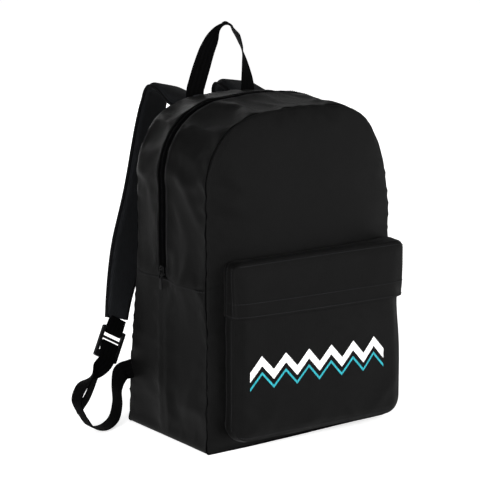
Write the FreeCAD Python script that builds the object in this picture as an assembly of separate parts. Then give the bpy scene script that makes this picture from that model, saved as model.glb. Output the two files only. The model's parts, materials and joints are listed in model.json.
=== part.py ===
"""School backpack: arched main compartment, front pocket, grab handle and two padded straps.

Millimetres. The origin is the centre of the flat base, on the floor. +Z is up, the front of the
bag faces -Y and the shoulder straps are on the +Y side.
"""

import FreeCAD
import Part
import math
import os

V = FreeCAD.Vector

# --- main compartment ---------------------------------------------------------------------
HALF_WIDTH = 150.0       # half of the width across the seams
HEIGHT = 446.0           # floor to the highest point of the arch
DEPTH = 170.0            # front panel to back panel
CORNER_R = 94.0          # upper corners of the arch
CROWN_R = 600.0          # shallow curve between the upper corners
BASE_R = 16.0            # lower corners
WALL = 2.4               # cloth with its lining
GAP = 0.2                # clearance between neighbouring pieces
SIDE_SEAM_Z = 218.0      # seam where the zip ends and the lower gusset starts
FOLD_Z = 258.0           # line above the pocket where the front leaf folds
FOLD_GAP = 0.5           # each side of a line where pieces meet
FOAM_T = 5.0
LINING_T = 0.8
BINDING_W = 7.0
BINDING_T = 1.6

# --- main zip -----------------------------------------------------------------------------
ZIP_Y = 13.0             # centre line of the zip
ZIP_SLOT_W = 13.0        # opening between the two gusset strips
ZIP_TAPE_W = 13.0
ZIP_TAPE_T = 1.0
COIL_W = 3.0             # one half of the coil
COIL_PROUD = 0.2         # coil above the cloth
COIL_SPLIT = 1.4         # gap along the zip for the neck of the slider
SLIDER_Z = 227.5
SLIDER_L = 15.0

# --- front pocket -------------------------------------------------------------------------
POCKET_HALF_W = 134.0
POCKET_BOTTOM = 12.0
POCKET_TOP = 255.0
POCKET_DEPTH = 28.0
POCKET_BASE_R = 20.0
POCKET_TOP_R = 10.0
POCKET_WALL = 1.6
POCKET_TOP_STRIP = 12.0  # height of the sides that belong to the top strip
FLAP_BOTTOM = 182.0
FLAP_STANDOFF = 7.0      # pocket face to the outside of the flap
POCKET_ZIP_Z = 206.0
POCKET_ZIP_HALF_L = 116.0
POCKET_SLOT_W = 8.0
POCKET_TAPE_W = 9.0
POCKET_TAPE_T = 0.8
POCKET_COIL_W = 2.2
POCKET_COIL_SPLIT = 1.2
POCKET_SLIDER_X = 100.0

# --- sliders and pull tabs ----------------------------------------------------------------
MAIN_SLIDER = dict(length=SLIDER_L, width=10.5, skin=1.4, lift=3.2, neck=0.8, bail=3.6)
MAIN_TAB = dict(length=24.0, width=7.6, thickness=1.6)
POCKET_SLIDER = dict(length=11.0, width=8.0, skin=1.0, lift=2.1, neck=0.7, bail=3.2)
POCKET_TAB = dict(length=16.0, width=6.4, thickness=1.2)
MAIN_TAB_HEIGHT = MAIN_SLIDER["lift"] + MAIN_SLIDER["skin"] + 1.3
POCKET_TAB_HEIGHT = POCKET_SLIDER["lift"] + POCKET_SLIDER["skin"] + 1.1

# --- printed band on the pocket -----------------------------------------------------------
PRINT_T = 0.3
PRINT_Z = 98.0
PRINT_START_X = -104.0
PRINT_STEP = 36.0        # width of one chevron
PRINT_STEPS = 6
PRINT_RISE = 20.0
PRINT_BAND = 13.0
ACCENT_BAND = 4.0
ACCENT_DROP = 12.0

# --- webbing and handle -------------------------------------------------------------------
WEB_W = 25.0
WEB_T = 1.6
HANDLE_X = 42.0          # half of the distance between the handle's ends
HANDLE_Y = 81.0
HANDLE_FOLD_Z = 446.0
HANDLE_SHAPE = ((42.0, 9.0), (32.0, 33.0), (25.0, 57.0), (14.0, 80.0))  # half width, height above the fold
HANDLE_TOP = 89.0        # height of the arch above the fold
HANDLE_END_Z = 424.0     # lower and upper edges of the ends sewn inside
HANDLE_END_TOP = 438.0

# --- shoulder straps ----------------------------------------------------------------------
STRAP_W = 60.0
STRAP_END_W = 31.0
STRAP_FOAM_T = 7.0
STRAP_CLOTH_T = 1.1
STRAP_LAYER_GAP = 0.3
YOKE_HALF_W = 96.0
YOKE_BOTTOM = 376.0
YOKE_TOP = 418.0
YOKE_T = 1.6

# --- ladder locks -------------------------------------------------------------------------
LOCK_W = 38.0
LOCK_L = 42.0
LOCK_T = 4.6
LOCK_RAIL_W = 4.6
LOCK_BAR_R = 2.0         # top bar, on the pivot
LOCK_SLOT_1 = (3.6, 12.0)
LOCK_SLOT_2 = (15.0, 22.5)
LOCK_SLOT_3 = (26.5, 32.0)
LOCK_ROUND = 1.2
LOCK_PIVOT = V(-162.0, 118.0, 126.0)
LOCK_DOWN = V(-0.50, -0.20, -0.84)
LOCK_ACROSS = V(1.0, 0.05, 0.0)
WEB_BEND_R = 4.2         # webbing round the middle bar
LOOP_BEND_R = 3.1        # webbing loop round the top bar

# --- derived places -----------------------------------------------------------------------
FRONT_Y = -DEPTH / 2
BACK_Y = DEPTH / 2
INNER_FRONT = FRONT_Y + WALL + GAP
INNER_BACK = BACK_Y - WALL - GAP
POCKET_Y = FRONT_Y - POCKET_DEPTH
POCKET_TAPE_Y = POCKET_Y + POCKET_WALL + GAP

LEFT = -1
RIGHT = 1
FAR = 1000.0


# --- helpers ------------------------------------------------------------------------------
def box(x0, x1, y0, y1, z0, z1):
    """Axis-aligned block between two corners."""
    return Part.makeBox(x1 - x0, y1 - y0, z1 - z0, V(x0, y0, z0))


def above(shape, z):
    return shape.common(box(-FAR, FAR, -FAR, FAR, z, FAR))


def below(shape, z):
    return shape.common(box(-FAR, FAR, -FAR, FAR, -FAR, z))


def arc(centre, radius, start_deg, end_deg, y):
    """Arc in the plane y, with angles counted from +X towards +Z."""
    points = []
    for angle in (start_deg, (start_deg + end_deg) / 2, end_deg):
        turn = math.radians(angle)
        points.append(V(centre[0] + radius * math.cos(turn), y, centre[1] + radius * math.sin(turn)))
    return Part.Arc(*points).toShape()


def joined(arcs):
    """Closed wire from arcs in order, with straight lines between their ends."""
    edges = []
    for current, following in zip(arcs, arcs[1:] + arcs[:1]):
        edges.append(current)
        start = current.valueAt(current.LastParameter)
        end = following.valueAt(following.FirstParameter)
        if start.distanceToPoint(end) > 1e-6:
            edges.append(Part.makeLine(start, end))
    return Part.Wire(edges)


def arch_wire(inset, y):
    """Outline of the main compartment, moved inwards by inset."""
    lean = math.degrees(math.asin((HALF_WIDTH - CORNER_R) / (CROWN_R - CORNER_R)))
    crown_z = HEIGHT - CROWN_R
    corner_x = HALF_WIDTH - CORNER_R
    corner_z = crown_z + (CROWN_R - CORNER_R) * math.cos(math.radians(lean))
    base_x = HALF_WIDTH - BASE_R
    return joined([
        arc((corner_x, corner_z), CORNER_R - inset, 0, 90 - lean, y),
        arc((0, crown_z), CROWN_R - inset, 90 - lean, 90 + lean, y),
        arc((-corner_x, corner_z), CORNER_R - inset, 90 + lean, 180, y),
        arc((-base_x, BASE_R), BASE_R - inset, 180, 270, y),
        arc((base_x, BASE_R), BASE_R - inset, 270, 360, y),
    ])


def pocket_wire(inset, y):
    """Outline of the front pocket, moved inwards by inset."""
    top_x = POCKET_HALF_W - POCKET_TOP_R
    top_z = POCKET_TOP - POCKET_TOP_R
    base_x = POCKET_HALF_W - POCKET_BASE_R
    base_z = POCKET_BOTTOM + POCKET_BASE_R
    return joined([
        arc((top_x, top_z), POCKET_TOP_R - inset, 0, 90, y),
        arc((-top_x, top_z), POCKET_TOP_R - inset, 90, 180, y),
        arc((-base_x, base_z), POCKET_BASE_R - inset, 180, 270, y),
        arc((base_x, base_z), POCKET_BASE_R - inset, 270, 360, y),
    ])


def plate(outline, inset, y0, y1):
    """Solid inside an outline, from y0 to y1."""
    return Part.Face(outline(inset, y0)).extrude(V(0, y1 - y0, 0))


def band(outline, outer, inner, y0, y1):
    """Ring between two insets of an outline, from y0 to y1."""
    return plate(outline, outer, y0, y1).cut(plate(outline, inner, y0, y1))


def mirror_pair(left):
    """One shape on each side of the bag."""
    return Part.makeCompound([left, left.mirror(V(0, 0, 0), V(1, 0, 0))])


def on_side(left, side):
    """Shapes are drawn for the left side, and mirrored for the right."""
    return left if side == LEFT else left.mirror(V(0, 0, 0), V(1, 0, 0))


def placed(shape, origin, x_axis, y_axis):
    """Move a shape from the base axes to the given ones."""
    z_axis = x_axis.cross(y_axis)
    matrix = FreeCAD.Matrix(
        x_axis.x, y_axis.x, z_axis.x, origin.x,
        x_axis.y, y_axis.y, z_axis.y, origin.y,
        x_axis.z, y_axis.z, z_axis.z, origin.z,
        0, 0, 0, 1,
    )
    moved = shape.copy()
    moved.Placement = FreeCAD.Placement(matrix)
    return moved


def curve_through(points):
    curve = Part.BSplineCurve()
    curve.interpolate([V(*point) for point in points])
    return curve


def ribbon(curve, side_at, width_at, low, high, stations):
    """Strip along a curve. side_at and width_at depend on the fraction along it."""
    first, last = curve.FirstParameter, curve.LastParameter
    sections = []
    for i in range(stations):
        fraction = i / (stations - 1)
        parameter = first + (last - first) * fraction
        point = curve.value(parameter)
        along = curve.tangent(parameter)[0]
        across = side_at(fraction)
        across = (across - along * across.dot(along)).normalize()
        normal = along.cross(across).normalize()
        half = across * (width_at(fraction) / 2)
        corners = [
            point - half + normal * low,
            point + half + normal * low,
            point + half + normal * high,
            point - half + normal * high,
        ]
        sections.append(Part.makePolygon(corners + corners[:1]))
    return Part.makeLoft(sections, True, False)


# --- panels of the main compartment -------------------------------------------------------
def front_sheet():
    """Front panel before it is split at the fold."""
    return plate(arch_wire, 0, FRONT_Y, FRONT_Y + WALL)


def front_strip():
    strip = band(arch_wire, 0, WALL, INNER_FRONT, ZIP_Y - ZIP_SLOT_W / 2)
    return above(strip, SIDE_SEAM_Z + FOLD_GAP)


def rear_strip():
    strip = band(arch_wire, 0, WALL, ZIP_Y + ZIP_SLOT_W / 2, INNER_BACK)
    return above(strip, SIDE_SEAM_Z + FOLD_GAP)


def lower_gusset():
    return below(band(arch_wire, 0, WALL, INNER_FRONT, INNER_BACK), SIDE_SEAM_Z - FOLD_GAP)


def binding(y0):
    inner = WALL + GAP
    return band(arch_wire, inner, inner + BINDING_T, y0, y0 + BINDING_W)


def back_layer(outer_y, thickness):
    inset = WALL + BINDING_T + 3 * GAP
    return plate(arch_wire, inset, outer_y - thickness, outer_y)


def on_leaf(shape):
    """The part of a front piece that folds with the leaf."""
    return above(shape, FOLD_Z + FOLD_GAP)


def under_fold(shape):
    """The part of a front piece that stays with the bag."""
    return below(shape, FOLD_Z - FOLD_GAP)


# --- zips ---------------------------------------------------------------------------------
def zip_half(outer, inner, width, direction):
    """One half of the main zip: towards the front for -1 and towards the back for +1."""
    near = ZIP_Y + direction * COIL_SPLIT / 2
    far = near + direction * width
    ring = band(arch_wire, outer, inner, min(near, far), max(near, far))
    return above(ring, SIDE_SEAM_Z + FOLD_GAP)


def zip_tape(direction):
    return zip_half(WALL + GAP, WALL + GAP + ZIP_TAPE_T, ZIP_TAPE_W, direction)


def zip_coil(direction):
    coil = zip_half(-COIL_PROUD, WALL, COIL_W, direction)
    return above(coil, SLIDER_Z - SLIDER_L / 4)


def slider(length, width, skin, lift, neck, bail):
    """Zip slider: travel along X, outside towards +Z, outer face of the tape at zero height."""
    top_z = lift + skin
    under = -ZIP_TAPE_T - 3 * GAP
    top = box(-length / 2, length / 2, -width / 2, width / 2, lift, top_z)
    nose = box(-length / 2, length / 2, -width / 3, width / 3, under - skin, under)
    post = box(-length / 2 + 1, -length / 2 + 4, -neck / 2, neck / 2, under, lift)
    arch = box(-3.6, 4.4, -1.1, 1.1, top_z, top_z + bail)
    window = box(-2.4, 3.2, -2, 2, top_z, top_z + bail - 1)
    body = top.fuse([nose, post, arch.cut(window)])
    return body.removeSplitter()


def pull_tab(length, width, thickness):
    """Flat tab hanging along -X from a bar on the origin."""
    tab = box(-length, 0.9, -width / 2, width / 2, -thickness / 2, thickness / 2)
    corners = [edge for edge in tab.Edges if abs(edge.tangentAt(0).z) > 0.9]
    tab = tab.makeFillet(0.85, corners)
    eye = box(-5.6, -0.9, -1.6, 1.6, -2, 2)
    grip = box(3 - length, 8 - length, 2.2 - width / 2, width / 2 - 2.2, -2, 2)
    return tab.cut(eye).cut(grip)


def on_left_leg(shape, height):
    """Place a slider piece on the left leg of the main zip."""
    origin = V(-HALF_WIDTH + WALL + GAP - height, ZIP_Y, SLIDER_Z)
    return placed(shape, origin, V(0, 0, 1), V(0, 1, 0))


def on_pocket_zip(shape, height):
    """Place a slider piece at the closed end of the pocket zip."""
    origin = V(POCKET_SLIDER_X, POCKET_TAPE_Y - height, POCKET_ZIP_Z)
    return placed(shape, origin, V(-1, 0, 0), V(0, 0, -1))


# --- front pocket -------------------------------------------------------------------------
def pocket_front():
    return plate(pocket_wire, 0, POCKET_Y, POCKET_Y + POCKET_WALL)


def pocket_face():
    return below(pocket_front(), POCKET_ZIP_Z - POCKET_SLOT_W / 2)


def pocket_upper_panel():
    return above(pocket_front(), POCKET_ZIP_Z + POCKET_SLOT_W / 2)


def pocket_ring():
    return band(pocket_wire, 0, POCKET_WALL, POCKET_Y + POCKET_WALL + GAP, FRONT_Y - GAP)


def pocket_flap():
    outer_y = POCKET_Y - FLAP_STANDOFF
    sheet = plate(pocket_wire, 0, outer_y, outer_y + POCKET_WALL)
    hood = band(pocket_wire, 0, POCKET_WALL, outer_y + POCKET_WALL / 2, POCKET_Y - GAP)
    return above(sheet.fuse(hood), FLAP_BOTTOM).removeSplitter()


def pocket_zip_half(near, width, y0, y1, direction):
    start = POCKET_ZIP_Z + direction * near
    end = start + direction * width
    return box(-POCKET_ZIP_HALF_L, POCKET_ZIP_HALF_L, y0, y1, min(start, end), max(start, end))


def pocket_tape(direction):
    near = POCKET_COIL_SPLIT / 2
    return pocket_zip_half(near, POCKET_TAPE_W, POCKET_TAPE_Y, POCKET_TAPE_Y + POCKET_TAPE_T, direction)


def pocket_coil(direction):
    near = POCKET_COIL_SPLIT / 2
    return pocket_zip_half(near, POCKET_COIL_W, POCKET_Y + GAP, POCKET_TAPE_Y - GAP, direction)


def pocket_zip_ends():
    half = POCKET_SLOT_W / 2 - GAP
    start = -POCKET_HALF_W + POCKET_WALL
    end = -POCKET_ZIP_HALF_L - GAP
    y1 = POCKET_Y + POCKET_WALL
    return mirror_pair(box(start, end, POCKET_Y, y1, POCKET_ZIP_Z - half, POCKET_ZIP_Z + half))


def chevrons(z, thickness):
    """Zigzag band printed across the pocket."""
    top, bottom = [], []
    for i in range(PRINT_STEPS * 2 + 1):
        x = PRINT_START_X + i * PRINT_STEP / 2
        peak = z + PRINT_RISE * (i % 2)
        top.append(V(x, POCKET_Y - PRINT_T - GAP, peak + thickness))
        bottom.append(V(x, POCKET_Y - PRINT_T - GAP, peak))
    outline = Part.makePolygon(top + bottom[::-1] + top[:1])
    return Part.Face(outline).extrude(V(0, PRINT_T, 0))


# --- handle, webbing and straps -----------------------------------------------------------
def grab_handle():
    """Webbing arch: flat across the bag at its ends, and turned a quarter at the top."""
    left = [(-x, HANDLE_Y, HANDLE_FOLD_Z + z) for x, z in HANDLE_SHAPE]
    right = [(x, HANDLE_Y, HANDLE_FOLD_Z + z) for x, z in reversed(HANDLE_SHAPE)]
    curve = curve_through(left + [(0, HANDLE_Y, HANDLE_FOLD_Z + HANDLE_TOP)] + right)

    def side(fraction):
        rise = 1 - abs(2 * fraction - 1)
        turn = math.pi / 2 * rise * rise * (3 - 2 * rise)
        return V(math.cos(turn), math.sin(turn), 0)

    return ribbon(curve, side, lambda f: WEB_W, -WEB_T / 2, WEB_T / 2, 33)


def handle_ends():
    """Ends of the handle sewn inside the arch."""
    half = WEB_W / 2
    y1 = INNER_BACK - FOAM_T - 2
    return mirror_pair(box(-HANDLE_X - half, -HANDLE_X + half, y1 - WEB_T, y1, HANDLE_END_Z, HANDLE_END_TOP))


def strap_curve():
    return curve_through([
        (-56, 91.8, 428.5),
        (-57, 106, 444),
        (-59, 127, 449),
        (-65, 146, 437),
        (-78, 153, 395),
        (-101, 145, 310),
        (-126, 135, 235),
        (-148, 125, 175),
        (-156.5, 120.4, 142),
    ])


def strap_width(fraction):
    """Full width for most of the length, then a smooth taper to the end."""
    taper = max(0.0, (fraction - 0.6) / 0.4)
    blend = taper * taper * (3 - 2 * taper)
    return STRAP_W + (STRAP_END_W - STRAP_W) * blend


def strap_layer(low, high):
    return ribbon(strap_curve(), lambda f: V(1, 0, 0), strap_width, low, high, 17)


def strap_foam():
    return strap_layer(-STRAP_FOAM_T / 2, STRAP_FOAM_T / 2)


def strap_outer():
    """Cloth on the side away from the bag."""
    start = STRAP_FOAM_T / 2 + STRAP_LAYER_GAP
    return strap_layer(-start - STRAP_CLOTH_T, -start)


def strap_lining():
    """Cloth on the side towards the bag."""
    start = STRAP_FOAM_T / 2 + STRAP_LAYER_GAP
    return strap_layer(start, start + STRAP_CLOTH_T)


def strap_yoke():
    """Patch over the sewn ends of the straps."""
    return box(-YOKE_HALF_W, YOKE_HALF_W, BACK_Y + GAP, BACK_Y + GAP + YOKE_T, YOKE_BOTTOM, YOKE_TOP)


def web_lower():
    """Webbing from the lower corner of the bag, down to the floor and back up."""
    curve = curve_through([
        (-151.5, 86, 68),
        (-163, 91, 66),
        (-171, 92, 50),
        (-177, 91, 30),
        (-190, 89, 9),
        (-209, 88, 3.5),
        (-228, 88, 12),
        (-236, 89, 34),
    ])

    def side(fraction):
        turn = min(1.0, fraction / 0.35)
        return V(0, 0.3, 1) * (1 - turn) + V(0, 1, 0) * turn

    return ribbon(curve, side, lambda f: WEB_W, -WEB_T / 2, WEB_T / 2, 22)


# --- ladder lock, drawn with the pivot on the origin, X across, Z up and +Y away from the bag
def in_lock(shape):
    z_axis = V(-LOCK_DOWN.x, -LOCK_DOWN.y, -LOCK_DOWN.z).normalize()
    x_axis = V(LOCK_ACROSS.x, LOCK_ACROSS.y, LOCK_ACROSS.z)
    x_axis = (x_axis - z_axis * x_axis.dot(z_axis)).normalize()
    return placed(shape, LOCK_PIVOT, x_axis, z_axis.cross(x_axis))


def ladder_lock():
    half_w, half_t = LOCK_W / 2, LOCK_T / 2
    frame = box(-half_w, half_w, -half_t, half_t, -LOCK_L, LOCK_BAR_R)
    corners = [edge for edge in frame.Edges if abs(edge.tangentAt(edge.FirstParameter).y) > 0.9]
    frame = frame.makeFillet(LOCK_BAR_R, corners)
    inner = half_w - LOCK_RAIL_W
    frame = frame.cut(box(-inner, inner, -LOCK_T, LOCK_T, -LOCK_SLOT_1[0], LOCK_BAR_R + 1))
    for top, bottom in (LOCK_SLOT_1, LOCK_SLOT_2, LOCK_SLOT_3):
        frame = frame.cut(box(-inner, inner, -LOCK_T, LOCK_T, -bottom, -top))
    rims = [edge for edge in frame.Edges if abs(edge.BoundBox.YLength) < 1e-6]
    frame = frame.makeFillet(LOCK_ROUND * 0.5, rims)
    bar = Part.makeCylinder(LOCK_BAR_R, 2 * inner + 2, V(-inner - 1, 0, 0), V(1, 0, 0))
    return in_lock(frame.fuse(bar).removeSplitter())


def bent_web(points):
    curve = curve_through(points)
    return ribbon(curve, lambda f: V(1, 0, 0), lambda f: WEB_W, -WEB_T / 2, WEB_T / 2, 33)


def lock_loop():
    """Webbing loop at the end of the strap, round the top bar."""
    r = LOOP_BEND_R
    d = r * math.sqrt(0.5)
    return in_lock(bent_web([
        (0, -r, 8.5), (0, -r, 4), (0, -r, 0), (0, -d, -d), (0, 0, -r),
        (0, d, -d), (0, r, 0), (0, r, 4), (0, r, 8.5),
    ]))


def lock_webbing():
    """Adjusting webbing: up behind the lock, round the middle bar and down in front."""
    r = WEB_BEND_R
    d = r * math.sqrt(0.5)
    bar_z = -(LOCK_SLOT_2[1] + LOCK_SLOT_3[0]) / 2
    return in_lock(bent_web([
        (0, -r - 1.5, -72), (0, -r, -46), (0, -r, bar_z - 6), (0, -r, bar_z), (0, -d, bar_z + d),
        (0, 0, bar_z + r), (0, d, bar_z + d), (0, r, bar_z), (0, r, bar_z - 6),
        (0, r + 1.5, -46), (0, r + 5, -68), (0, r + 6, -86),
    ]))


def build():
    """Every sub-part by name."""
    nodes = {
        "front_panel": on_leaf(front_sheet()),
        "front_panel_lower": under_fold(front_sheet()),
        "front_gusset": on_leaf(front_strip()),
        "front_gusset_ends": under_fold(front_strip()),
        "rear_gusset": rear_strip(),
        "lower_gusset": lower_gusset(),
        "back_panel": plate(arch_wire, 0, BACK_Y - WALL, BACK_Y),
        "back_foam": back_layer(INNER_BACK, FOAM_T),
        "back_lining": back_layer(INNER_BACK - FOAM_T - GAP, LINING_T),
        "front_binding": on_leaf(binding(INNER_FRONT)),
        "front_binding_lower": under_fold(binding(INNER_FRONT)),
        "back_binding": binding(INNER_BACK - BINDING_W),
        "zip_tape_front": on_leaf(zip_tape(-1)),
        "zip_tape_front_ends": under_fold(zip_tape(-1)),
        "zip_tape_rear": zip_tape(1),
        "zip_coil_front": on_leaf(zip_coil(-1)),
        "zip_coil_front_ends": under_fold(zip_coil(-1)),
        "zip_coil_rear": zip_coil(1),
        "main_slider": on_left_leg(slider(**MAIN_SLIDER), 0),
        "main_puller": on_left_leg(pull_tab(**MAIN_TAB), MAIN_TAB_HEIGHT),
        "pocket_gusset": below(pocket_ring(), POCKET_TOP - POCKET_TOP_STRIP),
        "pocket_top_strip": above(pocket_ring(), POCKET_TOP - POCKET_TOP_STRIP + GAP),
        "pocket_face": pocket_face(),
        "pocket_upper_panel": pocket_upper_panel(),
        "pocket_flap": pocket_flap(),
        "pocket_tape_upper": pocket_tape(1),
        "pocket_tape_lower": pocket_tape(-1),
        "pocket_coil_upper": pocket_coil(1),
        "pocket_coil_lower": pocket_coil(-1),
        "pocket_zip_ends": pocket_zip_ends(),
        "pocket_slider": on_pocket_zip(slider(**POCKET_SLIDER), 0),
        "pocket_puller": on_pocket_zip(pull_tab(**POCKET_TAB), POCKET_TAB_HEIGHT),
        "print_band": chevrons(PRINT_Z, PRINT_BAND),
        "print_accent": chevrons(PRINT_Z - ACCENT_DROP, ACCENT_BAND),
        "grab_handle": grab_handle(),
        "handle_ends": handle_ends(),
        "strap_yoke": strap_yoke(),
    }
    for name, side in (("left", LEFT), ("right", RIGHT)):
        nodes["strap_outer_" + name] = on_side(strap_outer(), side)
        nodes["strap_foam_" + name] = on_side(strap_foam(), side)
        nodes["strap_lining_" + name] = on_side(strap_lining(), side)
        nodes["lock_loop_" + name] = on_side(lock_loop(), side)
        nodes["ladder_lock_" + name] = on_side(ladder_lock(), side)
        nodes["lock_webbing_" + name] = on_side(lock_webbing(), side)
        nodes["web_lower_" + name] = on_side(web_lower(), side)
    return nodes


os.makedirs("parts", exist_ok=True)
for node, shape in build().items():
    shape.exportStep("parts/" + node + ".step")
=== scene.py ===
"""Looks of the school backpack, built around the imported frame. Metres, same axes as the frame."""
import json
import math

import bmesh
import bpy
import numpy as np
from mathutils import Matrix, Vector, noise
from mathutils.bvhtree import BVHTree


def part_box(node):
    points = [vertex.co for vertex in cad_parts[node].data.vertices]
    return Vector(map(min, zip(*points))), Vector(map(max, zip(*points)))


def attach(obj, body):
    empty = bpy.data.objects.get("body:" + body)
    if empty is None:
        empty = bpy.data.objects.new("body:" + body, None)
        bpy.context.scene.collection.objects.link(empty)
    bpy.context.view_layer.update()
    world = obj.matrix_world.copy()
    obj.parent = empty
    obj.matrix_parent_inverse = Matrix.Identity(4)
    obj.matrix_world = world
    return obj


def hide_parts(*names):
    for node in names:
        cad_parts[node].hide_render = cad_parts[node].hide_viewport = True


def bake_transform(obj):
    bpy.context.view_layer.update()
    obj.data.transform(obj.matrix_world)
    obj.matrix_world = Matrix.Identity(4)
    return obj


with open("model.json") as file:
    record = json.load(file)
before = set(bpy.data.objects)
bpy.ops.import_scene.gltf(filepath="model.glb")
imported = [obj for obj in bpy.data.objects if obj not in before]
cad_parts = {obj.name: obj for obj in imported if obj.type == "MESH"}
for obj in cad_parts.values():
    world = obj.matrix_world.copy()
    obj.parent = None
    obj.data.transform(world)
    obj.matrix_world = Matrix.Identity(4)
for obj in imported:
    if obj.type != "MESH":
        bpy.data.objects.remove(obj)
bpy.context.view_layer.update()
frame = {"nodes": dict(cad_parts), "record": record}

MM = 0.001
scene = bpy.context.scene

# --- places taken from the frame ----------------------------------------------------------
PANEL_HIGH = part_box("back_panel")[1]
FRONT_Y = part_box("front_panel")[0].y
BACK_Y = PANEL_HIGH.y
HALF_W = PANEL_HIGH.x
HEIGHT = PANEL_HIGH.z
SIDE_SEAM_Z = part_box("rear_gusset")[0].z
EDGE_TURN = 2 * MM           # the cloth edges beside the zip are turned in by this much
SLOT_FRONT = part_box("front_gusset")[1].y - EDGE_TURN
SLOT_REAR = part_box("rear_gusset")[0].y + EDGE_TURN
ZIP_Y = (SLOT_FRONT + SLOT_REAR) / 2
POCKET_LOW, POCKET_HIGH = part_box("pocket_face")
POCKET_Y = POCKET_LOW.y
POCKET_HALF = POCKET_HIGH.x
POCKET_BASE = POCKET_LOW.z + 5 * MM
POCKET_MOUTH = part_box("pocket_upper_panel")[1].z
FLAP_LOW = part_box("pocket_flap")[0]

# --- sizes of the cloth shapes ------------------------------------------------------------
CENTRE = (0, 0, HEIGHT / 2)
CORNER_R = 96 * MM
CROWN_R = 600 * MM
BASE_R = 6 * MM
POCKET_BASE_R = 22 * MM
POCKET_TOP_R = 10 * MM
POCKET_X = 10 * MM           # the pocket sits a little to the right of the middle
POCKET_IN = (0, -0.095, 0.14)
CLOTH_T = 1.3 * MM
SEAM_RECESS = 1.8 * MM
SIDE_BULGE = 8 * MM
FRONT_BULGE = 7 * MM
BACK_BULGE = 6 * MM
LOW_SPREAD = 18 * MM         # the back stands out this far near the base
HIGH_TAPER = 6 * MM          # and comes in this far higher up
WEB_W = 25 * MM
WEB_T = 1.6 * MM
EDGE_STITCH = 2.6 * MM       # from the edge of a piece to its row of stitches
X_AXIS, Y_AXIS, Z_AXIS = np.eye(3)


# --- small numeric helpers ----------------------------------------------------------------
def unit(v):
    return v / np.maximum(np.linalg.norm(v, axis=-1, keepdims=True), 1e-12)


def smooth(x, low, high):
    t = np.clip((x - low) / (high - low), 0, 1)
    return t * t * (3 - 2 * t)


def lengths(points):
    steps = np.linalg.norm(np.diff(points, axis=0), axis=1)
    return np.concatenate([[0], np.cumsum(steps)])


def at_lengths(points, where, values=None):
    """A polyline's points, or other values given at them, at some distances along it."""
    values = points if values is None else values
    along = lengths(points)
    return np.stack([np.interp(where, along, column) for column in values.T], axis=1)


def spline(points, per_span=12):
    """Catmull-Rom curve through the points."""
    p = np.asarray(points, float)
    ends = np.concatenate([[2 * p[0] - p[1]], p, [2 * p[-1] - p[-2]]])
    rows = []
    for i in range(1, len(ends) - 2):
        for t in np.arange(per_span) / per_span:
            a, b, c, d = ends[i - 1:i + 3]
            rows.append(0.5 * (2 * b + (c - a) * t + (2 * a - 5 * b + 4 * c - d) * t * t
                               + (3 * b - a - 3 * c + d) * t ** 3))
    rows.append(p[-1])
    return np.array(rows)


def even(points, count):
    """The same curve with evenly spaced points."""
    return at_lengths(points, np.linspace(0, lengths(points)[-1], count))


def lumps(points, scale, seed):
    """Smooth noise from -1 to 1 at each point, at the given size of lump."""
    offset = Vector((seed * 7.13, seed * 3.71, seed * 1.37))
    flat = points.reshape(-1, 3)
    values = [noise.noise(Vector(p) / scale + offset) for p in flat]
    return np.array(values).reshape(points.shape[:-1])


def rumpled(points, *lump_sets):
    """Uneven relief, as a sum of lumps: (height, size, seed) in millimetres."""
    return sum(height * MM * lumps(points, size * MM, seed) for height, size, seed in lump_sets)


def ribbed(shape, across, along):
    """Weave coordinates of a grid from its places across and along."""
    return np.stack([np.broadcast_to(across, shape), np.broadcast_to(along[:, None], shape)], axis=-1)


def grid_normals(grid, closed=False):
    """Unit normals of a grid of points."""
    if closed:
        du = np.roll(grid, -1, 0) - np.roll(grid, 1, 0)
    else:
        du = np.gradient(grid, axis=0)
    dv = np.gradient(grid, axis=1)
    return unit(np.cross(du, dv))


# --- outlines -----------------------------------------------------------------------------
def arc2(cx, cz, radius, start, end):
    """Points of an arc in the XZ plane, between two angles in degrees."""
    turn = np.radians(np.linspace(start, end, 40))
    return np.stack([cx + radius * np.cos(turn), cz + radius * np.sin(turn)], axis=1)


ARCH_LEAN = math.degrees(math.asin((HALF_W - CORNER_R) / (CROWN_R - CORNER_R)))
CROWN_Z = HEIGHT - CROWN_R
CORNER_X = HALF_W - CORNER_R
CORNER_Z = CROWN_Z + (CROWN_R - CORNER_R) * math.cos(math.radians(ARCH_LEAN))


def arch_outline():
    """Dense outline from the middle of the lower left corner, up the left side and round."""
    bx = HALF_W - BASE_R
    return np.concatenate([
        arc2(-bx, BASE_R, BASE_R, 225, 180),
        arc2(-CORNER_X, CORNER_Z, CORNER_R, 180, 90 + ARCH_LEAN),
        arc2(0, CROWN_Z, CROWN_R, 90 + ARCH_LEAN, 90 - ARCH_LEAN),
        arc2(CORNER_X, CORNER_Z, CORNER_R, 90 - ARCH_LEAN, 0),
        arc2(bx, BASE_R, BASE_R, 0, -90),
        arc2(-bx, BASE_R, BASE_R, 270, 225),
    ])


def box_outline(half, low, high, low_r, high_r):
    """Outline of a panel with rounded corners, starting and running as the arch does."""
    lx, hx = half - low_r, half - high_r
    return np.concatenate([
        arc2(-lx, low + low_r, low_r, 225, 180),
        arc2(-hx, high - high_r, high_r, 180, 90),
        arc2(hx, high - high_r, high_r, 90, 0),
        arc2(lx, low + low_r, low_r, 0, -90),
        arc2(-lx, low + low_r, low_r, 270, 225),
    ])


def mark(outline, x, z):
    """Distance along an outline of the point nearest to (x, z)."""
    places = np.linspace(0, lengths(outline)[-1], 6000)
    gaps = np.linalg.norm(at_lengths(outline, places) - np.array([x, z]), axis=1)
    return places[np.argmin(gaps)]


def levels(count, edge):
    """Fractions from 0 to 1 with small first and last steps, so that seams stay crisp."""
    inner = np.linspace(3.2 * edge, 1 - 3.2 * edge, count - 4)
    return np.concatenate([[0, edge], inner, [1 - edge, 1]])


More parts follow.
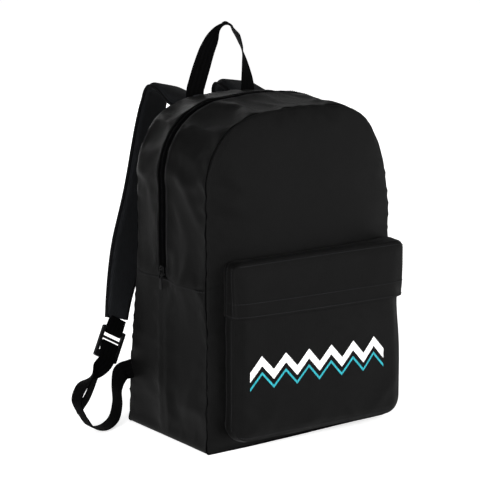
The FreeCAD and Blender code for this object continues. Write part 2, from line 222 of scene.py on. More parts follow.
def coons(bottom, top, left, right):
    """Patch between four boundary rows: bottom and top run in u, left and right in v."""
    u = (lengths(bottom) / lengths(bottom)[-1])[None, :, None]
    v = (lengths(left) / lengths(left)[-1])[:, None, None]
    ruled_v = (1 - v) * bottom[None] + v * top[None]
    ruled_u = (1 - u) * left[:, None] + u * right[:, None]
    corners = ((1 - v) * ((1 - u) * bottom[0] + u * bottom[-1])
               + v * ((1 - u) * top[0] + u * top[-1]))
    return ruled_v + ruled_u - corners


def patch_shares(left, top):
    """How far across and how far up each point of a patch is, from 0 to 1."""
    v = (left / left[-1])[:, None] * np.ones((1, len(top)))
    u = ((top - top[0]) / (top[-1] - top[0]))[None] * np.ones((len(left), 1))
    return u, v


def border_gap(u, v, width, height):
    """How far each point of a patch is from its nearest edge."""
    return np.minimum(np.minimum(u, 1 - u) * width, np.minimum(v, 1 - v) * height)


# --- mesh helpers -------------------------------------------------------------------------
def new_object(name, verts, faces, uv=None):
    mesh = bpy.data.meshes.new(name)
    mesh.from_pydata([tuple(v) for v in verts], [], [tuple(int(i) for i in f) for f in faces])
    mesh.update()
    for polygon in mesh.polygons:
        polygon.use_smooth = True
    if uv is not None:
        layer = mesh.attributes.new("weave", "FLOAT_VECTOR", "POINT")
        flat = np.zeros((len(verts), 3), np.float32)
        flat[:, :uv.shape[1]] = uv
        layer.data.foreach_set("vector", flat.ravel())
    obj = bpy.data.objects.new(name, mesh)
    scene.collection.objects.link(obj)
    return obj


def grid_faces(rows, cols, closed_rows=False, closed_cols=False):
    faces = []
    for i in range(rows if closed_rows else rows - 1):
        for j in range(cols if closed_cols else cols - 1):
            a, b = i * cols + j, i * cols + (j + 1) % cols
            k = ((i + 1) % rows) * cols
            faces.append((a, b, k + (j + 1) % cols, k + j))
    return faces


def tube_faces(rows, cols):
    """Faces of a tube with both ends closed."""
    faces = grid_faces(rows, cols, closed_cols=True)
    faces.append(tuple(range(cols))[::-1])
    faces.append(tuple((rows - 1) * cols + j for j in range(cols)))
    return faces


def sheet(name, grid, uv, inside):
    """Cloth sheet from a grid of points, facing away from a point inside."""
    faces = grid_faces(*grid.shape[:2])
    verts = grid.reshape(-1, 3)
    a, b, c, d = (verts[[f[k] for f in faces]] for k in range(4))
    normal = np.cross(c - a, d - b)
    away = (a + c) / 2 - np.asarray(inside)
    if np.sum(normal * away) < 0:
        faces = [f[::-1] for f in faces]
    return new_object(name, verts, faces, uv.reshape(-1, uv.shape[-1]))


def modifier(obj, kind, **settings):
    mod = obj.modifiers.new(kind.lower(), kind)
    for key, value in settings.items():
        setattr(mod, key, value)


def subdivide(obj):
    modifier(obj, "SUBSURF", levels=1, render_levels=1)


def thicken(obj, thickness=CLOTH_T, lining=False):
    settings = dict(thickness=thickness, offset=-1.0, use_even_offset=False)
    if lining:
        settings["material_offset"] = 1
    modifier(obj, "SOLIDIFY", **settings)


def paint(obj, *materials):
    obj.data.materials.clear()
    for material in materials:
        obj.data.materials.append(material)


def leaf_blend(obj):
    """Cloth that belongs to the folding upper front: its placement is baked into its mesh."""
    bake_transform(obj)


def fitted(obj, nodes=(), body=None, leaf=False):
    """Hide the CAD nodes that a piece stands for, and say what it moves with."""
    if nodes:
        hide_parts(*nodes)
    if leaf:
        leaf_blend(obj)
    elif body:
        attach(obj, body)


def apply_modifiers(obj):
    """Replace the mesh by its modified form."""
    bpy.context.view_layer.update()
    graph = bpy.context.evaluated_depsgraph_get()
    mesh = bpy.data.meshes.new_from_object(obj.evaluated_get(graph))
    obj.modifiers.clear()
    old = obj.data
    obj.data = mesh
    bpy.data.meshes.remove(old)


def surface_of(*objects):
    """Tree of the final surfaces, for laying stitches on them."""
    verts, faces = [], []
    graph = bpy.context.evaluated_depsgraph_get()
    for obj in objects:
        mesh = obj.evaluated_get(graph).to_mesh()
        base = len(verts)
        verts.extend(v.co.copy() for v in mesh.vertices)
        faces.extend([base + i for i in p.vertices] for p in mesh.polygons)
    return BVHTree.FromPolygons(verts, faces)


def laid_on(tree, points, lift):
    """Points moved onto a surface, with the surface normals there."""
    placed, normals = [], []
    for point in points:
        location, normal = tree.find_nearest(Vector(point))[:2]
        away = Vector(point) - location
        if away.length > 1e-6 and away.dot(normal) < -0.7 * away.length and away.length > 1.5 * MM:
            normal = -normal
        placed.append(location + normal * lift)
        normals.append(normal)
    return np.array(placed), np.array(normals)


def depth_at(tree, x, z, heading=1):
    """Where a line along Y first meets a surface; a small nudge avoids grazing an edge."""
    for nudge in (0.013 * MM, -0.17 * MM, 0.31 * MM):
        start = Vector((float(x) + nudge, -0.3 * heading, float(z) + nudge))
        hit = tree.ray_cast(start, Vector((0, heading, 0)))[0]
        if hit is not None:
            return hit.y
    return tree.find_nearest(Vector((float(x), 0, float(z))))[0].y


def tube_rings(points, across, normal, half_w, half_t, count, power=2.0):
    """Closed ring of points round each point of a path: a superellipse."""
    turn = np.linspace(0, 2 * math.pi, count, endpoint=False)
    c = np.sign(np.cos(turn)) * np.abs(np.cos(turn)) ** (2 / power)
    s = np.sign(np.sin(turn)) * np.abs(np.sin(turn)) ** (2 / power)
    half_w = np.broadcast_to(half_w, len(points))[:, None, None]
    half_t = np.broadcast_to(half_t, len(points))[:, None, None]
    return (points[:, None] + across[:, None] * (half_w * c[None, :, None])
            + normal[:, None] * (half_t * s[None, :, None]))


def solid(name, verts, faces, uv, material):
    """Painted object whose faces all point outwards."""
    obj = new_object(name, verts, faces, uv)
    bm = bmesh.new()
    bm.from_mesh(obj.data)
    bmesh.ops.recalc_face_normals(bm, faces=bm.faces)
    bm.to_mesh(obj.data)
    bm.free()
    paint(obj, material)
    return obj


def closed_tube(name, rings, uv, material):
    faces = tube_faces(*rings.shape[:2])
    return solid(name, rings.reshape(-1, 3), faces, uv.reshape(-1, uv.shape[-1]), material)


def path_frames(points, side):
    """Unit directions across and out of a strip that follows a path."""
    along = unit(np.gradient(points, axis=0))
    across = unit(side - along * np.sum(side * along, axis=1, keepdims=True))
    return across, np.cross(across, along)


def beads(name, centres, first, second, radii, material, sides=6):
    """Many small round pieces: one row of centres each, with its cross directions and radii."""
    count, stations = centres.shape[:2]
    turn = np.linspace(0, 2 * math.pi, sides, endpoint=False)
    ring = (first[:, :, None] * np.cos(turn)[None, None, :, None]
            + second[:, :, None] * np.sin(turn)[None, None, :, None])
    verts = (centres[:, :, None] + ring * np.asarray(radii)[None, :, None, None]).reshape(-1, 3)
    size = stations * sides
    faces = [tuple(size * n + i for i in face) for n in range(count) for face in tube_faces(stations, sides)]
    return solid(name, verts, faces, verts[:, [0, 2]], material)


STITCH_PITCH, STITCH_LENGTH, THREAD_R = 3.8 * MM, 2.8 * MM, 0.42 * MM
STITCH_RISE = np.array([-0.35, 0.175, 0.35, 0.175, -0.35]) * MM
STITCH_LIFT = 0.15 * MM
STITCH_SHAPE = np.array([0.5, 0.95, 1, 0.95, 0.5]) * THREAD_R


def stitches(name, points, normals):
    """Row of thread stitches along a line that lies on the cloth."""
    total = lengths(points)[-1]
    count = max(1, int(total / STITCH_PITCH))
    starts = (np.arange(count) + 0.1) * total / count
    stations = [starts + share * STITCH_LENGTH for share in np.linspace(0, 1, 5)]
    centre = np.stack([at_lengths(points, where) for where in stations], axis=1)
    normal = np.stack([unit(at_lengths(points, where, normals)) for where in stations], axis=1)
    along = unit(np.gradient(centre, axis=1))
    side = unit(np.cross(along, normal))
    centre = centre + normal * (STITCH_RISE[None, :, None] + STITCH_LIFT)
    return beads(name, centre, normal, side, STITCH_SHAPE, THREAD)


def joined(name, objects):
    """One mesh from several."""
    verts, faces, weave = [], [], []
    for obj in objects:
        base = len(verts)
        verts.extend(v.co.copy() for v in obj.data.vertices)
        faces.extend([base + i for i in p.vertices] for p in obj.data.polygons)
        weave.extend(tuple(item.vector) for item in obj.data.attributes["weave"].data)
    result = new_object(name, verts, faces, np.array(weave))
    paint(result, *objects[0].data.materials)
    for obj in objects:
        bpy.data.objects.remove(obj)
    return result


# --- materials ----------------------------------------------------------------------------
def new_material(name):
    """An empty material, its node tree and its shader."""
    material = bpy.data.materials.new(name)
    material.use_nodes = True
    return material, material.node_tree, material.node_tree.nodes["Principled BSDF"]


def node(tree, kind, inputs=None, **settings):
    """A shader node; each input is a number, a vector or the output of another node."""
    item = tree.nodes.new(kind)
    for key, value in settings.items():
        setattr(item, key, value)
    for key, value in (inputs or {}).items():
        if isinstance(value, bpy.types.NodeSocket):
            tree.links.new(value, item.inputs[key])
        else:
            item.inputs[key].default_value = value
    return item


def calc(tree, operation, a, b=0.0):
    return node(tree, "ShaderNodeMath", {0: a, 1: b}, operation=operation).outputs[0]


def plus(tree, base, extra, share=1.0):
    """One value with a share of another added."""
    return calc(tree, "ADD", base, calc(tree, "MULTIPLY", extra, share))


def wave(tree, place, period):
    return calc(tree, "SINE", calc(tree, "MULTIPLY", place, 2 * math.pi / (period * MM)))


def scaled(tree, value, low, high, to_low, to_high):
    inputs = {"Value": value, "From Min": low, "From Max": high, "To Min": to_low, "To Max": to_high}
    return node(tree, "ShaderNodeMapRange", inputs).outputs["Result"]


def noise_of(tree, place, scale, detail):
    inputs = {"Vector": place, "Scale": scale, "Detail": detail}
    return node(tree, "ShaderNodeTexNoise", inputs).outputs["Fac"]


def streaks(tree, place, scales, detail):
    """Noise drawn out along one direction."""
    stretched = node(tree, "ShaderNodeVectorMath", {0: place, 1: scales}, operation="MULTIPLY")
    return noise_of(tree, stretched.outputs["Vector"], 1.0, detail)


def colour_by(tree, shader, colour, shade):
    """Base colour made lighter or darker by a shade."""
    item = node(tree, "ShaderNodeVectorMath", {0: colour, 3: shade}, operation="SCALE")
    tree.links.new(item.outputs["Vector"], shader.inputs["Base Color"])


def bumped(tree, shader, height, strength, depth):
    item = node(tree, "ShaderNodeBump", {"Height": height, "Strength": strength, "Distance": depth * MM})
    tree.links.new(item.outputs["Normal"], shader.inputs["Normal"])


def cloth(name, colour, rough=0.86, thread=0.8, rib=2.4, relief=0.35, fade=0.20, sheen=0.01, gloss=0.05):
    """Woven fabric: crossing threads, faint ribs, uneven dye and slight wear, with painted highlight on the
    raised threads and ribs.
    """
    material, tree, shader = new_material(name)
    place = node(tree, "ShaderNodeAttribute", attribute_name="weave").outputs["Vector"]
    across, along, _ = node(tree, "ShaderNodeSeparateXYZ", {"Vector": place}).outputs
    crossing = calc(tree, "MULTIPLY", wave(tree, across, thread), wave(tree, along, thread))
    ribs = wave(tree, across, rib)
    dye = noise_of(tree, place, 9.0, 4.0)
    slub = streaks(tree, place, (900, 90, 1), 2.0)
    fuzz = noise_of(tree, place, 1400.0, 2.0)
    height = plus(tree, calc(tree, "MULTIPLY", crossing, 0.5), ribs, 0.22)
    height = plus(tree, plus(tree, height, fuzz, 0.8), slub, 0.5)
    bumped(tree, shader, height, relief, 0.35)
    shade = scaled(tree, dye, 0.3, 0.7, 1 - fade, 1 + fade)
    # painted highlight: raised thread crossings and ribs are made lighter in the colour, as if light caught
    # them
    shade = plus(tree, plus(tree, shade, crossing, 0.12), ribs, 0.24)
    shade = plus(tree, shade, scaled(tree, slub, 0.35, 0.65, -0.22, 0.22))
    colour_by(tree, shader, colour, shade)
    tree.links.new(scaled(tree, dye, 0.3, 0.7, rough - 0.06, rough + 0.06), shader.inputs["Roughness"])
    shader.inputs["Sheen Weight"].default_value = sheen
    shader.inputs["Sheen Roughness"].default_value = 0.45
    shader.inputs["Specular IOR Level"].default_value = gloss
    return material


def web_cloth(name, colour):
    """Ribbed nylon webbing, with strong ribs."""
    return cloth(name, colour, 0.85, thread=1.5, rib=3.0, relief=0.6, fade=0.22, sheen=0.0, gloss=0.02)


def moulded(name, colour, rough, worn, gloss):
    """Moulded plastic or painted metal with a fine grain, handling marks and duller patches."""
    material, tree, shader = new_material(name)
    place = node(tree, "ShaderNodeTexCoord").outputs["Object"]
    patches = noise_of(tree, place, 60.0, 4.0)
    fine = noise_of(tree, place, 500.0, 3.0)
    scratch = streaks(tree, place, (1500, 200, 120), 3.0)
    colour_by(tree, shader, colour, scaled(tree, patches, 0.3, 0.7, 1 - worn, 1 + worn))
    dull = plus(tree, scaled(tree, patches, 0.3, 0.7, rough - 0.07, rough + 0.07),
                scaled(tree, scratch, 0.45, 0.8, 0.0, 0.18))
    tree.links.new(dull, shader.inputs["Roughness"])
    bumped(tree, shader, plus(tree, fine, scratch, 0.5), 0.24, 0.15)
    shader.inputs["Specular IOR Level"].default_value = gloss
    return material


SHELL = cloth("shell_cloth", (0.0020, 0.0020, 0.0020), rough=0.5, rib=2.6, gloss=0.042)
STRAP_CLOTH = cloth("strap_cloth", (0.0060, 0.0064, 0.0072), rib=2.2, fade=0.25)
LINING = cloth("lining_cloth", (0.018, 0.018, 0.020), rough=0.6, thread=0.5, relief=0.15, sheen=0.0)
FOAM = cloth("foam", (0.030, 0.030, 0.032), rough=0.95, thread=2.0, relief=0.5)
BINDING = web_cloth("binding_tape", (0.0045, 0.0045, 0.0050))
WEBBING = web_cloth("webbing", (0.0010, 0.0010, 0.0011))
TAPE = cloth("zip_tape", (0.0007, 0.0007, 0.0008), rough=0.9, thread=0.9, rib=1.8, relief=0.4,
             fade=0.15, sheen=0.0, gloss=0.01)
COIL = moulded("zip_coil", (0.0006, 0.0006, 0.0007), 0.6, worn=0.15, gloss=0.015)
METAL = moulded("slider_metal", (0.0016, 0.0016, 0.0018), 0.40, worn=0.3, gloss=0.07)
PLASTIC = moulded("lock_plastic", (0.0030, 0.0030, 0.0033), 0.42, worn=0.3, gloss=0.12)
# the thread is coloured well above the shell cloth as a painted highlight along the stitch rows
THREAD = cloth("thread", (0.017, 0.017, 0.018), rough=0.7, thread=0.5, rib=0.9, relief=0.5, fade=0.2)
INK = dict(rough=0.55, rib=2.6, relief=0.25, sheen=0.0)
PRINT_WHITE = cloth("print_white", (0.80, 0.80, 0.79), fade=0.05, **INK)
PRINT_TEAL = cloth("print_teal", (0.024, 0.270, 0.318), fade=0.12, **INK)


# --- body shell: gusset ring with a front and a back patch, as one set of arrays -----------
DIAG = math.sqrt(0.5)
OUTLINE = arch_outline()
ROUND = lengths(OUTLINE)[-1]
MARK_SEAM = mark(OUTLINE, -HALF_W, SIDE_SEAM_Z)
MARK_B = mark(OUTLINE, -CORNER_X - CORNER_R * DIAG, CORNER_Z + CORNER_R * DIAG)
MARK_D = mark(OUTLINE, HALF_W - BASE_R * (1 - DIAG), BASE_R * (1 - DIAG))


def side_steps(start, end, count, edge=2 * MM):
    return start + (end - start) * levels(count, edge / (end - start))


LOW_ROWS, HIGH_ROWS, ACROSS = 32, 28, 46
LEFT = np.concatenate([side_steps(0, MARK_SEAM, LOW_ROWS), side_steps(MARK_SEAM, MARK_B, HIGH_ROWS)[1:]])
TOP = side_steps(MARK_B, MARK_D - MARK_B, ACROSS)
BOTTOM = side_steps(MARK_D, ROUND, ACROSS)
N_V, N_U = len(LEFT), len(TOP)
RING_S = np.concatenate([LEFT[:-1], TOP[:-1], (MARK_D - LEFT[::-1])[:-1], BOTTOM[:-1]])
N_RING = len(RING_S)
RING = at_lengths(OUTLINE, RING_S)
I_LEFT = np.arange(N_V)
I_TOP = N_V - 1 + np.arange(N_U)
I_RIGHT = N_V - 1 + N_U - 1 + np.arange(N_V)
I_BOTTOM = (2 * (N_V - 1) + N_U - 1 + np.arange(N_U)) % N_RING
SEAM_L = LOW_ROWS - 1
SEAM_R = int(I_RIGHT[-1] - SEAM_L)
UPPER = np.arange(SEAM_L, SEAM_R + 1)
LOWER = np.arange(SEAM_R, N_RING + SEAM_L + 1) % N_RING
COLS = np.concatenate([
    FRONT_Y + np.array([0, 2, 6]) * MM,
    np.linspace(FRONT_Y + 12 * MM, SLOT_FRONT - 7 * MM, 13),
    [SLOT_FRONT - 2.5 * MM, SLOT_FRONT, ZIP_Y - 2 * MM, ZIP_Y],
    [ZIP_Y + 2 * MM, SLOT_REAR, SLOT_REAR + 2.5 * MM],
    np.linspace(SLOT_REAR + 7 * MM, BACK_Y - 12 * MM, 6),
    BACK_Y - np.array([6, 2, 0]) * MM,
])
J_FRONT = int(np.argmin(abs(COLS - SLOT_FRONT)))
J_REAR = int(np.argmin(abs(COLS - SLOT_REAR)))


def ring_outward():
    step = np.roll(RING, -1, 0) - np.roll(RING, 1, 0)
    flat = unit(np.stack([-step[:, 1], step[:, 0]], axis=1))
    return np.stack([flat[:, 0], np.zeros(N_RING), flat[:, 1]], axis=1)


def swell(u, power=3.0):
    """Fullness from 0 at both edges to 1 in the middle."""
    return 1 - np.abs(2 * u - 1) ** power


def start_shape():
    """Gusset, front and back grids, already a little full."""
    gusset = np.zeros((N_RING, len(COLS), 3))
    gusset[:, :, 0] = RING[:, None, 0]
    gusset[:, :, 1] = COLS[None]
    gusset[:, :, 2] = RING[:, None, 1]
    depth = (COLS - FRONT_Y) / (BACK_Y - FRONT_Y)
    z = RING[:, 1, None]
    full = SIDE_BULGE * smooth(z, 2 * MM, 60 * MM) * (1 - 0.45 * smooth(z, 320 * MM, 440 * MM)) * swell(depth)
    flat_zip = 0.8 * np.exp(-((COLS - ZIP_Y) / (26 * MM)) ** 2) * (1 - smooth(z, 330 * MM, 420 * MM))
    gusset += ring_outward()[:, None] * (full * (1 - flat_zip))[..., None]
    flat = coons(RING[I_BOTTOM][::-1], RING[I_TOP], RING[I_LEFT], RING[I_RIGHT][::-1])
    u, v = patch_shares(LEFT, TOP)
    fullness = swell(u) * swell(v)
    front = np.stack([flat[..., 0], FRONT_Y - FRONT_BULGE * fullness, flat[..., 1]], axis=-1)
    back = np.stack([flat[..., 0], BACK_Y + BACK_BULGE * fullness, flat[..., 1]], axis=-1)
    return gusset, front, back


def index_grids():
    """Shared vertex numbers of the three grids."""
    gusset = np.arange(N_RING * len(COLS)).reshape(N_RING, len(COLS))
    extra = gusset.size
    grids = []
    for edge in (gusset[:, 0], gusset[:, -1]):
        grid = np.zeros((N_V, N_U), int)
        inner = grid[1:-1, 1:-1]
        inner[:] = extra + np.arange(inner.size).reshape(inner.shape)
        extra += inner.size
        grid[:, 0] = edge[I_LEFT]
        grid[:, -1] = edge[I_RIGHT][::-1]
        grid[0] = edge[I_BOTTOM][::-1]
        grid[-1] = edge[I_TOP]
        grids.append(grid)
    return gusset, grids[0], grids[1], extra


def held_amounts(gusset_ids, front_ids, back_ids, count):
    """How firmly each point is held: seams fully, the zip and the base partly."""
    held = np.zeros(count)
    held[gusset_ids[:, J_FRONT:J_REAR + 1]] = 0.96
    held[gusset_ids[[SEAM_L, SEAM_R]]] = 0.93
    held[gusset_ids[RING[:, 1] < 10 * MM]] = 0.98
    for grid in (front_ids, back_ids):
        held[grid[1:3]] = 0.95
        held[grid[:, [1, -2]]] = 0.8
    held[gusset_ids[:, [0, -1]]] = 1.0
    return held


CLOTH_FRAMES = 20
CLOTH_SETTINGS = {"quality": 6, "mass": 0.25, "tension_stiffness": 18, "compression_stiffness": 18,
                  "shear_stiffness": 6, "bending_stiffness": 0.35, "use_pressure": True,
                  "uniform_pressure_force": 4.0, "vertex_group_mass": "held", "shrink_min": -0.014}


def settled(points, faces, held):
    """The shell as cloth: pushed out by what it holds, gathered where it is sewn."""
    trial = new_object("cloth_trial", points, faces)
    group = trial.vertex_groups.new(name="held")
    for i, amount in enumerate(held):
        if amount > 0:
            group.add([i], float(amount), "REPLACE")
    mod = trial.modifiers.new("cloth", "CLOTH")
    for key, value in CLOTH_SETTINGS.items():
        setattr(mod.settings, key, value)
    mod.settings.effector_weights.gravity = 0.0
    mod.collision_settings.use_collision = False
    mod.point_cache.frame_start = 1
    mod.point_cache.frame_end = CLOTH_FRAMES
    for frame_number in range(1, CLOTH_FRAMES + 1):
        scene.frame_set(frame_number)
    graph = bpy.context.evaluated_depsgraph_get()
    mesh = trial.evaluated_get(graph).to_mesh()
    moved = np.array([v.co for v in mesh.vertices])
    bpy.data.objects.remove(trial)
    scene.frame_set(1)
    return moved


def limited(shift, most):
    """Movements kept below a limit, smoothly."""
    size = np.linalg.norm(shift, axis=1, keepdims=True)
    return shift * (most * np.tanh(size / most) / np.maximum(size, 1e-9))


def crease(points, normals, start, end, width, height):
    """Soft ridge, or a valley if the height is negative, between two places on the cloth."""
    a, b = np.array(start) * MM, np.array(end) * MM
    ab = b - a
    t = np.clip((points - a) @ ab / (ab @ ab), 0, 1)
    offset = points - (a + t[..., None] * ab)
    depth = (offset * normals).sum(axis=-1)
    offset -= normals * depth[..., None]
    gap = np.linalg.norm(offset, axis=-1) + 100 * (np.abs(depth) > 40 * MM)
    size = height * MM * np.exp(-(gap / (width * MM)) ** 2) * (0.35 + 0.65 * np.sin(math.pi * t))
    return points + normals * size[..., None]


def raised(grid, out, relief, folds=()):
    """A grid moved out by its relief, then folded."""
    grid = grid + out * relief[..., None]
    for fold in folds:
        grid = crease(grid, out, *fold)
    return grid


def recessed(distance, depth=SEAM_RECESS, reach=1.1 * MM):
    """How far the cloth is drawn in next to a seam."""
    return depth * np.exp(-(distance / reach) ** 2)


def tapered(points):
    """Behind the zip, the bag is deeper near its base than higher up."""
    moved = points.copy()
    amount = LOW_SPREAD + (-HIGH_TAPER - LOW_SPREAD) * smooth(points[..., 2], 40 * MM, 260 * MM)
    share = (points[..., 1] - SLOT_REAR) / (BACK_Y - SLOT_REAR)
    moved[..., 1] += amount * np.clip(share, 0, 1.1)
    return moved


def sagged(points):
    """The right shoulder hangs in a little, and the base lifts a little at the front right."""
    moved = points.copy()
    side = smooth(points[..., 0], -20 * MM, 150 * MM)
    z = points[..., 2]
    high = smooth(z, 290 * MM, 385 * MM) * (1 - 0.4 * smooth(z, 400 * MM, 446 * MM))
    moved[..., 0] -= 12 * MM * side * high
    moved[..., 2] -= 2.5 * MM * side * smooth(z, 380 * MM, 446 * MM)
    front = 1 - smooth(points[..., 1], -80 * MM, 60 * MM)
    low = 1 - smooth(z, 0, 70 * MM)
    moved[..., 2] += 4.5 * MM * smooth(points[..., 0], -130 * MM, 150 * MM) * front * low
    return moved


def puckers(along, from_seam, seed, size):
    """Small gathers next to a seam, fading over a couple of centimetres."""
    place = np.stack([along / (15 * MM), from_seam / (60 * MM), np.full_like(along, seed)], axis=-1)
    fade = np.exp(-from_seam / (16 * MM)) * smooth(from_seam, 0, 7 * MM)
    return size * MM * lumps(place, 1.0, seed) * fade


def seam_tuck(distance):
    """Cloth drawn in beside a seam: sharply at the seam, and gently over a wider strip."""
    return recessed(distance) + recessed(distance, 1.0 * MM, 8 * MM)


def gusset_relief(gusset):
    """The gusset with its lumps, gathers, seams and folds."""
    out = grid_normals(gusset, closed=True)
    s = np.broadcast_to(RING_S[:, None], gusset.shape[:2])
    y = np.broadcast_to(COLS, gusset.shape[:2])
    edge_gap = np.minimum(y - FRONT_Y, BACK_Y - y)
    seam_gap = np.minimum(abs(s - MARK_SEAM), abs(s - (MARK_D - MARK_SEAM)))
    relief = rumpled(gusset, (1.3, 55, 3), (0.5, 20, 8))
    relief += puckers(s, edge_gap, 5, 1.7) + puckers(y, seam_gap, 6, 0.7)
    relief *= 0.25 + 0.75 * smooth(gusset[..., 2], 5 * MM, 60 * MM)
    above_floor = 0.1 + 0.9 * smooth(gusset[..., 2], 1 * MM, 25 * MM)
    tuck = seam_tuck(edge_gap) * above_floor
    relief -= tuck + recessed(seam_gap, 1.0 * MM, 3 * MM) * above_floor
    gusset = gusset + out * relief[..., None]
    gusset[:, 0, 1] += tuck[:, 0]
    gusset[:, -1, 1] -= tuck[:, -1]
    for fold in SIDE_FOLDS:
        gusset = crease(gusset, out, *fold)
    return gusset


def panel_relief(grid, sign, seed, folds=()):
    """The front or the back panel with its lumps, gathers, seam and folds."""
    border = border_gap(*patch_shares(LEFT, TOP), 2 * HALF_W, HEIGHT)
    out = grid_normals(grid) * sign
    relief = rumpled(grid, (1.4, 70, seed), (0.5, 24, seed + 5))
    relief += puckers(grid[..., 0] + grid[..., 2], border, seed + 7, 1.8)
    return raised(grid, out, relief * smooth(border, 0, 12 * MM) - seam_tuck(border), folds)


def shell_arrays():
    """Gusset, front and back grids in their final shape."""
    gusset, front, back = start_shape()
    gusset_ids, front_ids, back_ids, count = index_grids()
    points = np.zeros((count, 3))
    points[front_ids] = front
    points[back_ids] = back
    points[gusset_ids] = gusset
    faces = grid_faces(N_RING, len(COLS), closed_rows=True)
    for ids in (front_ids, back_ids):
        flat = ids.ravel()
        faces += [tuple(flat[i] for i in face) for face in grid_faces(N_V, N_U)]
    held = held_amounts(gusset_ids, front_ids, back_ids, count)
    points = points + limited(settled(points, faces, held) - points, CLOTH_LIMIT)
    gusset = gusset_relief(points[gusset_ids])
    points[front_ids] = panel_relief(points[front_ids], -1, 11, FRONT_FOLDS)
    points[back_ids] = panel_relief(points[back_ids], 1, 12)
    points[gusset_ids] = gusset
    points = sagged(tapered(points))
    return points[gusset_ids], points[front_ids], points[back_ids]


CLOTH_LIMIT = 9 * MM
# folds: start, end, width and height, all in millimetres
SIDE_FOLDS = (
    ((-155, -20, 366), (-155, -88, 282), 7, 3.6),
    ((-155, -60, 372), (-155, -84, 352), 4, 2.2),
    ((-155, -62, 330), (-155, -84, 322), 4, 1.8),
    ((-155, -34, 352), (-155, -80, 300), 5, -1.6),
    ((-155, -8, 328), (-155, -38, 286), 6, 2.0),
    ((-155, -60, 240), (-155, -12, 200), 7, 1.4),
    ((-155, 45, 120), (-155, 10, 60), 9, 1.6),
    ((-155, -70, 120), (-155, -30, 40), 8, 1.8),
    ((155, -20, 350), (155, -80, 290), 7, 2.6),
    ((155, -60, 130), (155, -10, 50), 9, 1.8),
)
FRONT_FOLDS = (
    ((-138, -92, 380), (-100, -92, 350), 8, 5.0),
    ((-142, -92, 358), (-108, -92, 344), 7, -3.4),
    ((-146, -92, 340), (-104, -92, 324), 8, 4.6),
    ((-147, -92, 320), (-112, -92, 308), 7, -3.0),
    ((-148, -92, 304), (-114, -92, 290), 8, 4.0),
    ((-148, -92, 280), (-124, -92, 272), 8, 2.6),
    ((-147, -92, 112), (-128, -92, 104), 7, 2.6),
    ((-147, -92, 84), (-128, -92, 88), 7, 2.4),
    ((-147, -92, 56), (-128, -92, 48), 7, 2.6),
    ((-147, -92, 28), (-128, -92, 34), 7, 2.0),
    ((20, -92, 440), (52, -92, 404), 5, 1.1),
    ((-10, -92, 436), (-2, -92, 408), 5, 0.9),
    ((146, -90, 360), (122, -92, 340), 5, 1.4),
)
GUSSET, FRONT, BACK = shell_arrays()
GUSSET_UV = ribbed(GUSSET.shape[:2], COLS, RING_S)


def shell_piece(name, grid, uv, nodes, body=None, inside=CENTRE, thickness=CLOTH_T):
    """Lined shell cloth."""
    obj = sheet(name, grid, uv, inside)
    paint(obj, SHELL, LINING)
    subdivide(obj)
    thicken(obj, thickness, lining=True)
    fitted(obj, nodes, body)
    return obj


front_cloth = shell_piece("front_cloth", FRONT, FRONT[..., [0, 2]], ("front_panel", "front_panel_lower"))
front_strip = shell_piece("front_gusset_cloth", GUSSET[UPPER, :J_FRONT + 1],
                          GUSSET_UV[UPPER, :J_FRONT + 1], ("front_gusset", "front_gusset_ends"))
rear_strip = shell_piece("rear_gusset_cloth", GUSSET[UPPER, J_REAR:], GUSSET_UV[UPPER, J_REAR:],
                         ("rear_gusset",), "bag")
lower_strip = shell_piece("lower_gusset_cloth", GUSSET[LOWER], GUSSET_UV[LOWER], ("lower_gusset",), "bag")
back_cloth = shell_piece("back_cloth", BACK, BACK[..., [0, 2]], ("back_panel",), "bag")
PAD_SHRINK = np.array([0.96, 1, 0.985])
PAD_SHIFT = np.array([0, -9.6, 3]) * MM
back_inner = BACK[3:-3, 3:-3] * PAD_SHRINK + PAD_SHIFT
back_pad = sheet("back_pad", back_inner, back_inner[..., [0, 2]], (0, 1, HEIGHT / 2))
paint(back_pad, LINING, FOAM)
subdivide(back_pad)
thicken(back_pad, 5 * MM, lining=True)
fitted(back_pad, ("back_foam", "back_lining"), "bag")
FRONT_TREE = surface_of(front_cloth)
BACK_TREE = surface_of(back_cloth)
GUSSET_TREE = surface_of(front_strip, rear_strip, lower_strip)


def gusset_line(y, rows):
    """Points along the gusset at one distance from the front."""
    j = int(np.clip(np.searchsorted(COLS, y), 1, len(COLS) - 1))
    t = (y - COLS[j - 1]) / (COLS[j] - COLS[j - 1])
    return GUSSET[rows, j - 1] * (1 - t) + GUSSET[rows, j] * t


def ring_line(s):
    """Points across the gusset at one place round it."""
    i = int(np.searchsorted(RING_S, s))
    t = (s - RING_S[i - 1]) / (RING_S[i] - RING_S[i - 1])
    return GUSSET[i - 1] * (1 - t) + GUSSET[i] * t


def seam_row(name, tree, line, leaf=False):
    """Stitches along a line of points, laid on the cloth."""
    count = max(8, int(lengths(line)[-1] / (3 * MM)))
    row = stitches(name, *laid_on(tree, even(line, count), 0))
    fitted(row, body="bag", leaf=leaf)


# --- seams of the shell -------------------------------------------------------------------
ROUND_ZIP = UPPER[1:-1]
SEAM_PLACE = MARK_SEAM - EDGE_STITCH
seam_row("stitch_zip_front", GUSSET_TREE, gusset_line(SLOT_FRONT - EDGE_STITCH, ROUND_ZIP), leaf=True)
seam_row("stitch_zip_rear", GUSSET_TREE, gusset_line(SLOT_REAR + EDGE_STITCH, ROUND_ZIP))
seam_row("stitch_side_left", GUSSET_TREE, ring_line(SEAM_PLACE)[1:-1])
seam_row("stitch_side_right", GUSSET_TREE, ring_line(MARK_D - SEAM_PLACE)[1:-1])


def ring_tube(ring, half_w, half_t, sides, power):
    """A closed path and the rings of points round it."""
    path = np.concatenate([ring, ring[:1]])
    across, normal = path_frames(path, np.tile(Y_AXIS, (len(path), 1)))
    rings = tube_rings(path, across, normal, half_w, half_t, sides, power)
    rings[..., 2] = np.maximum(rings[..., 2], 0)
    rings[-1] = rings[0]
    return path, rings


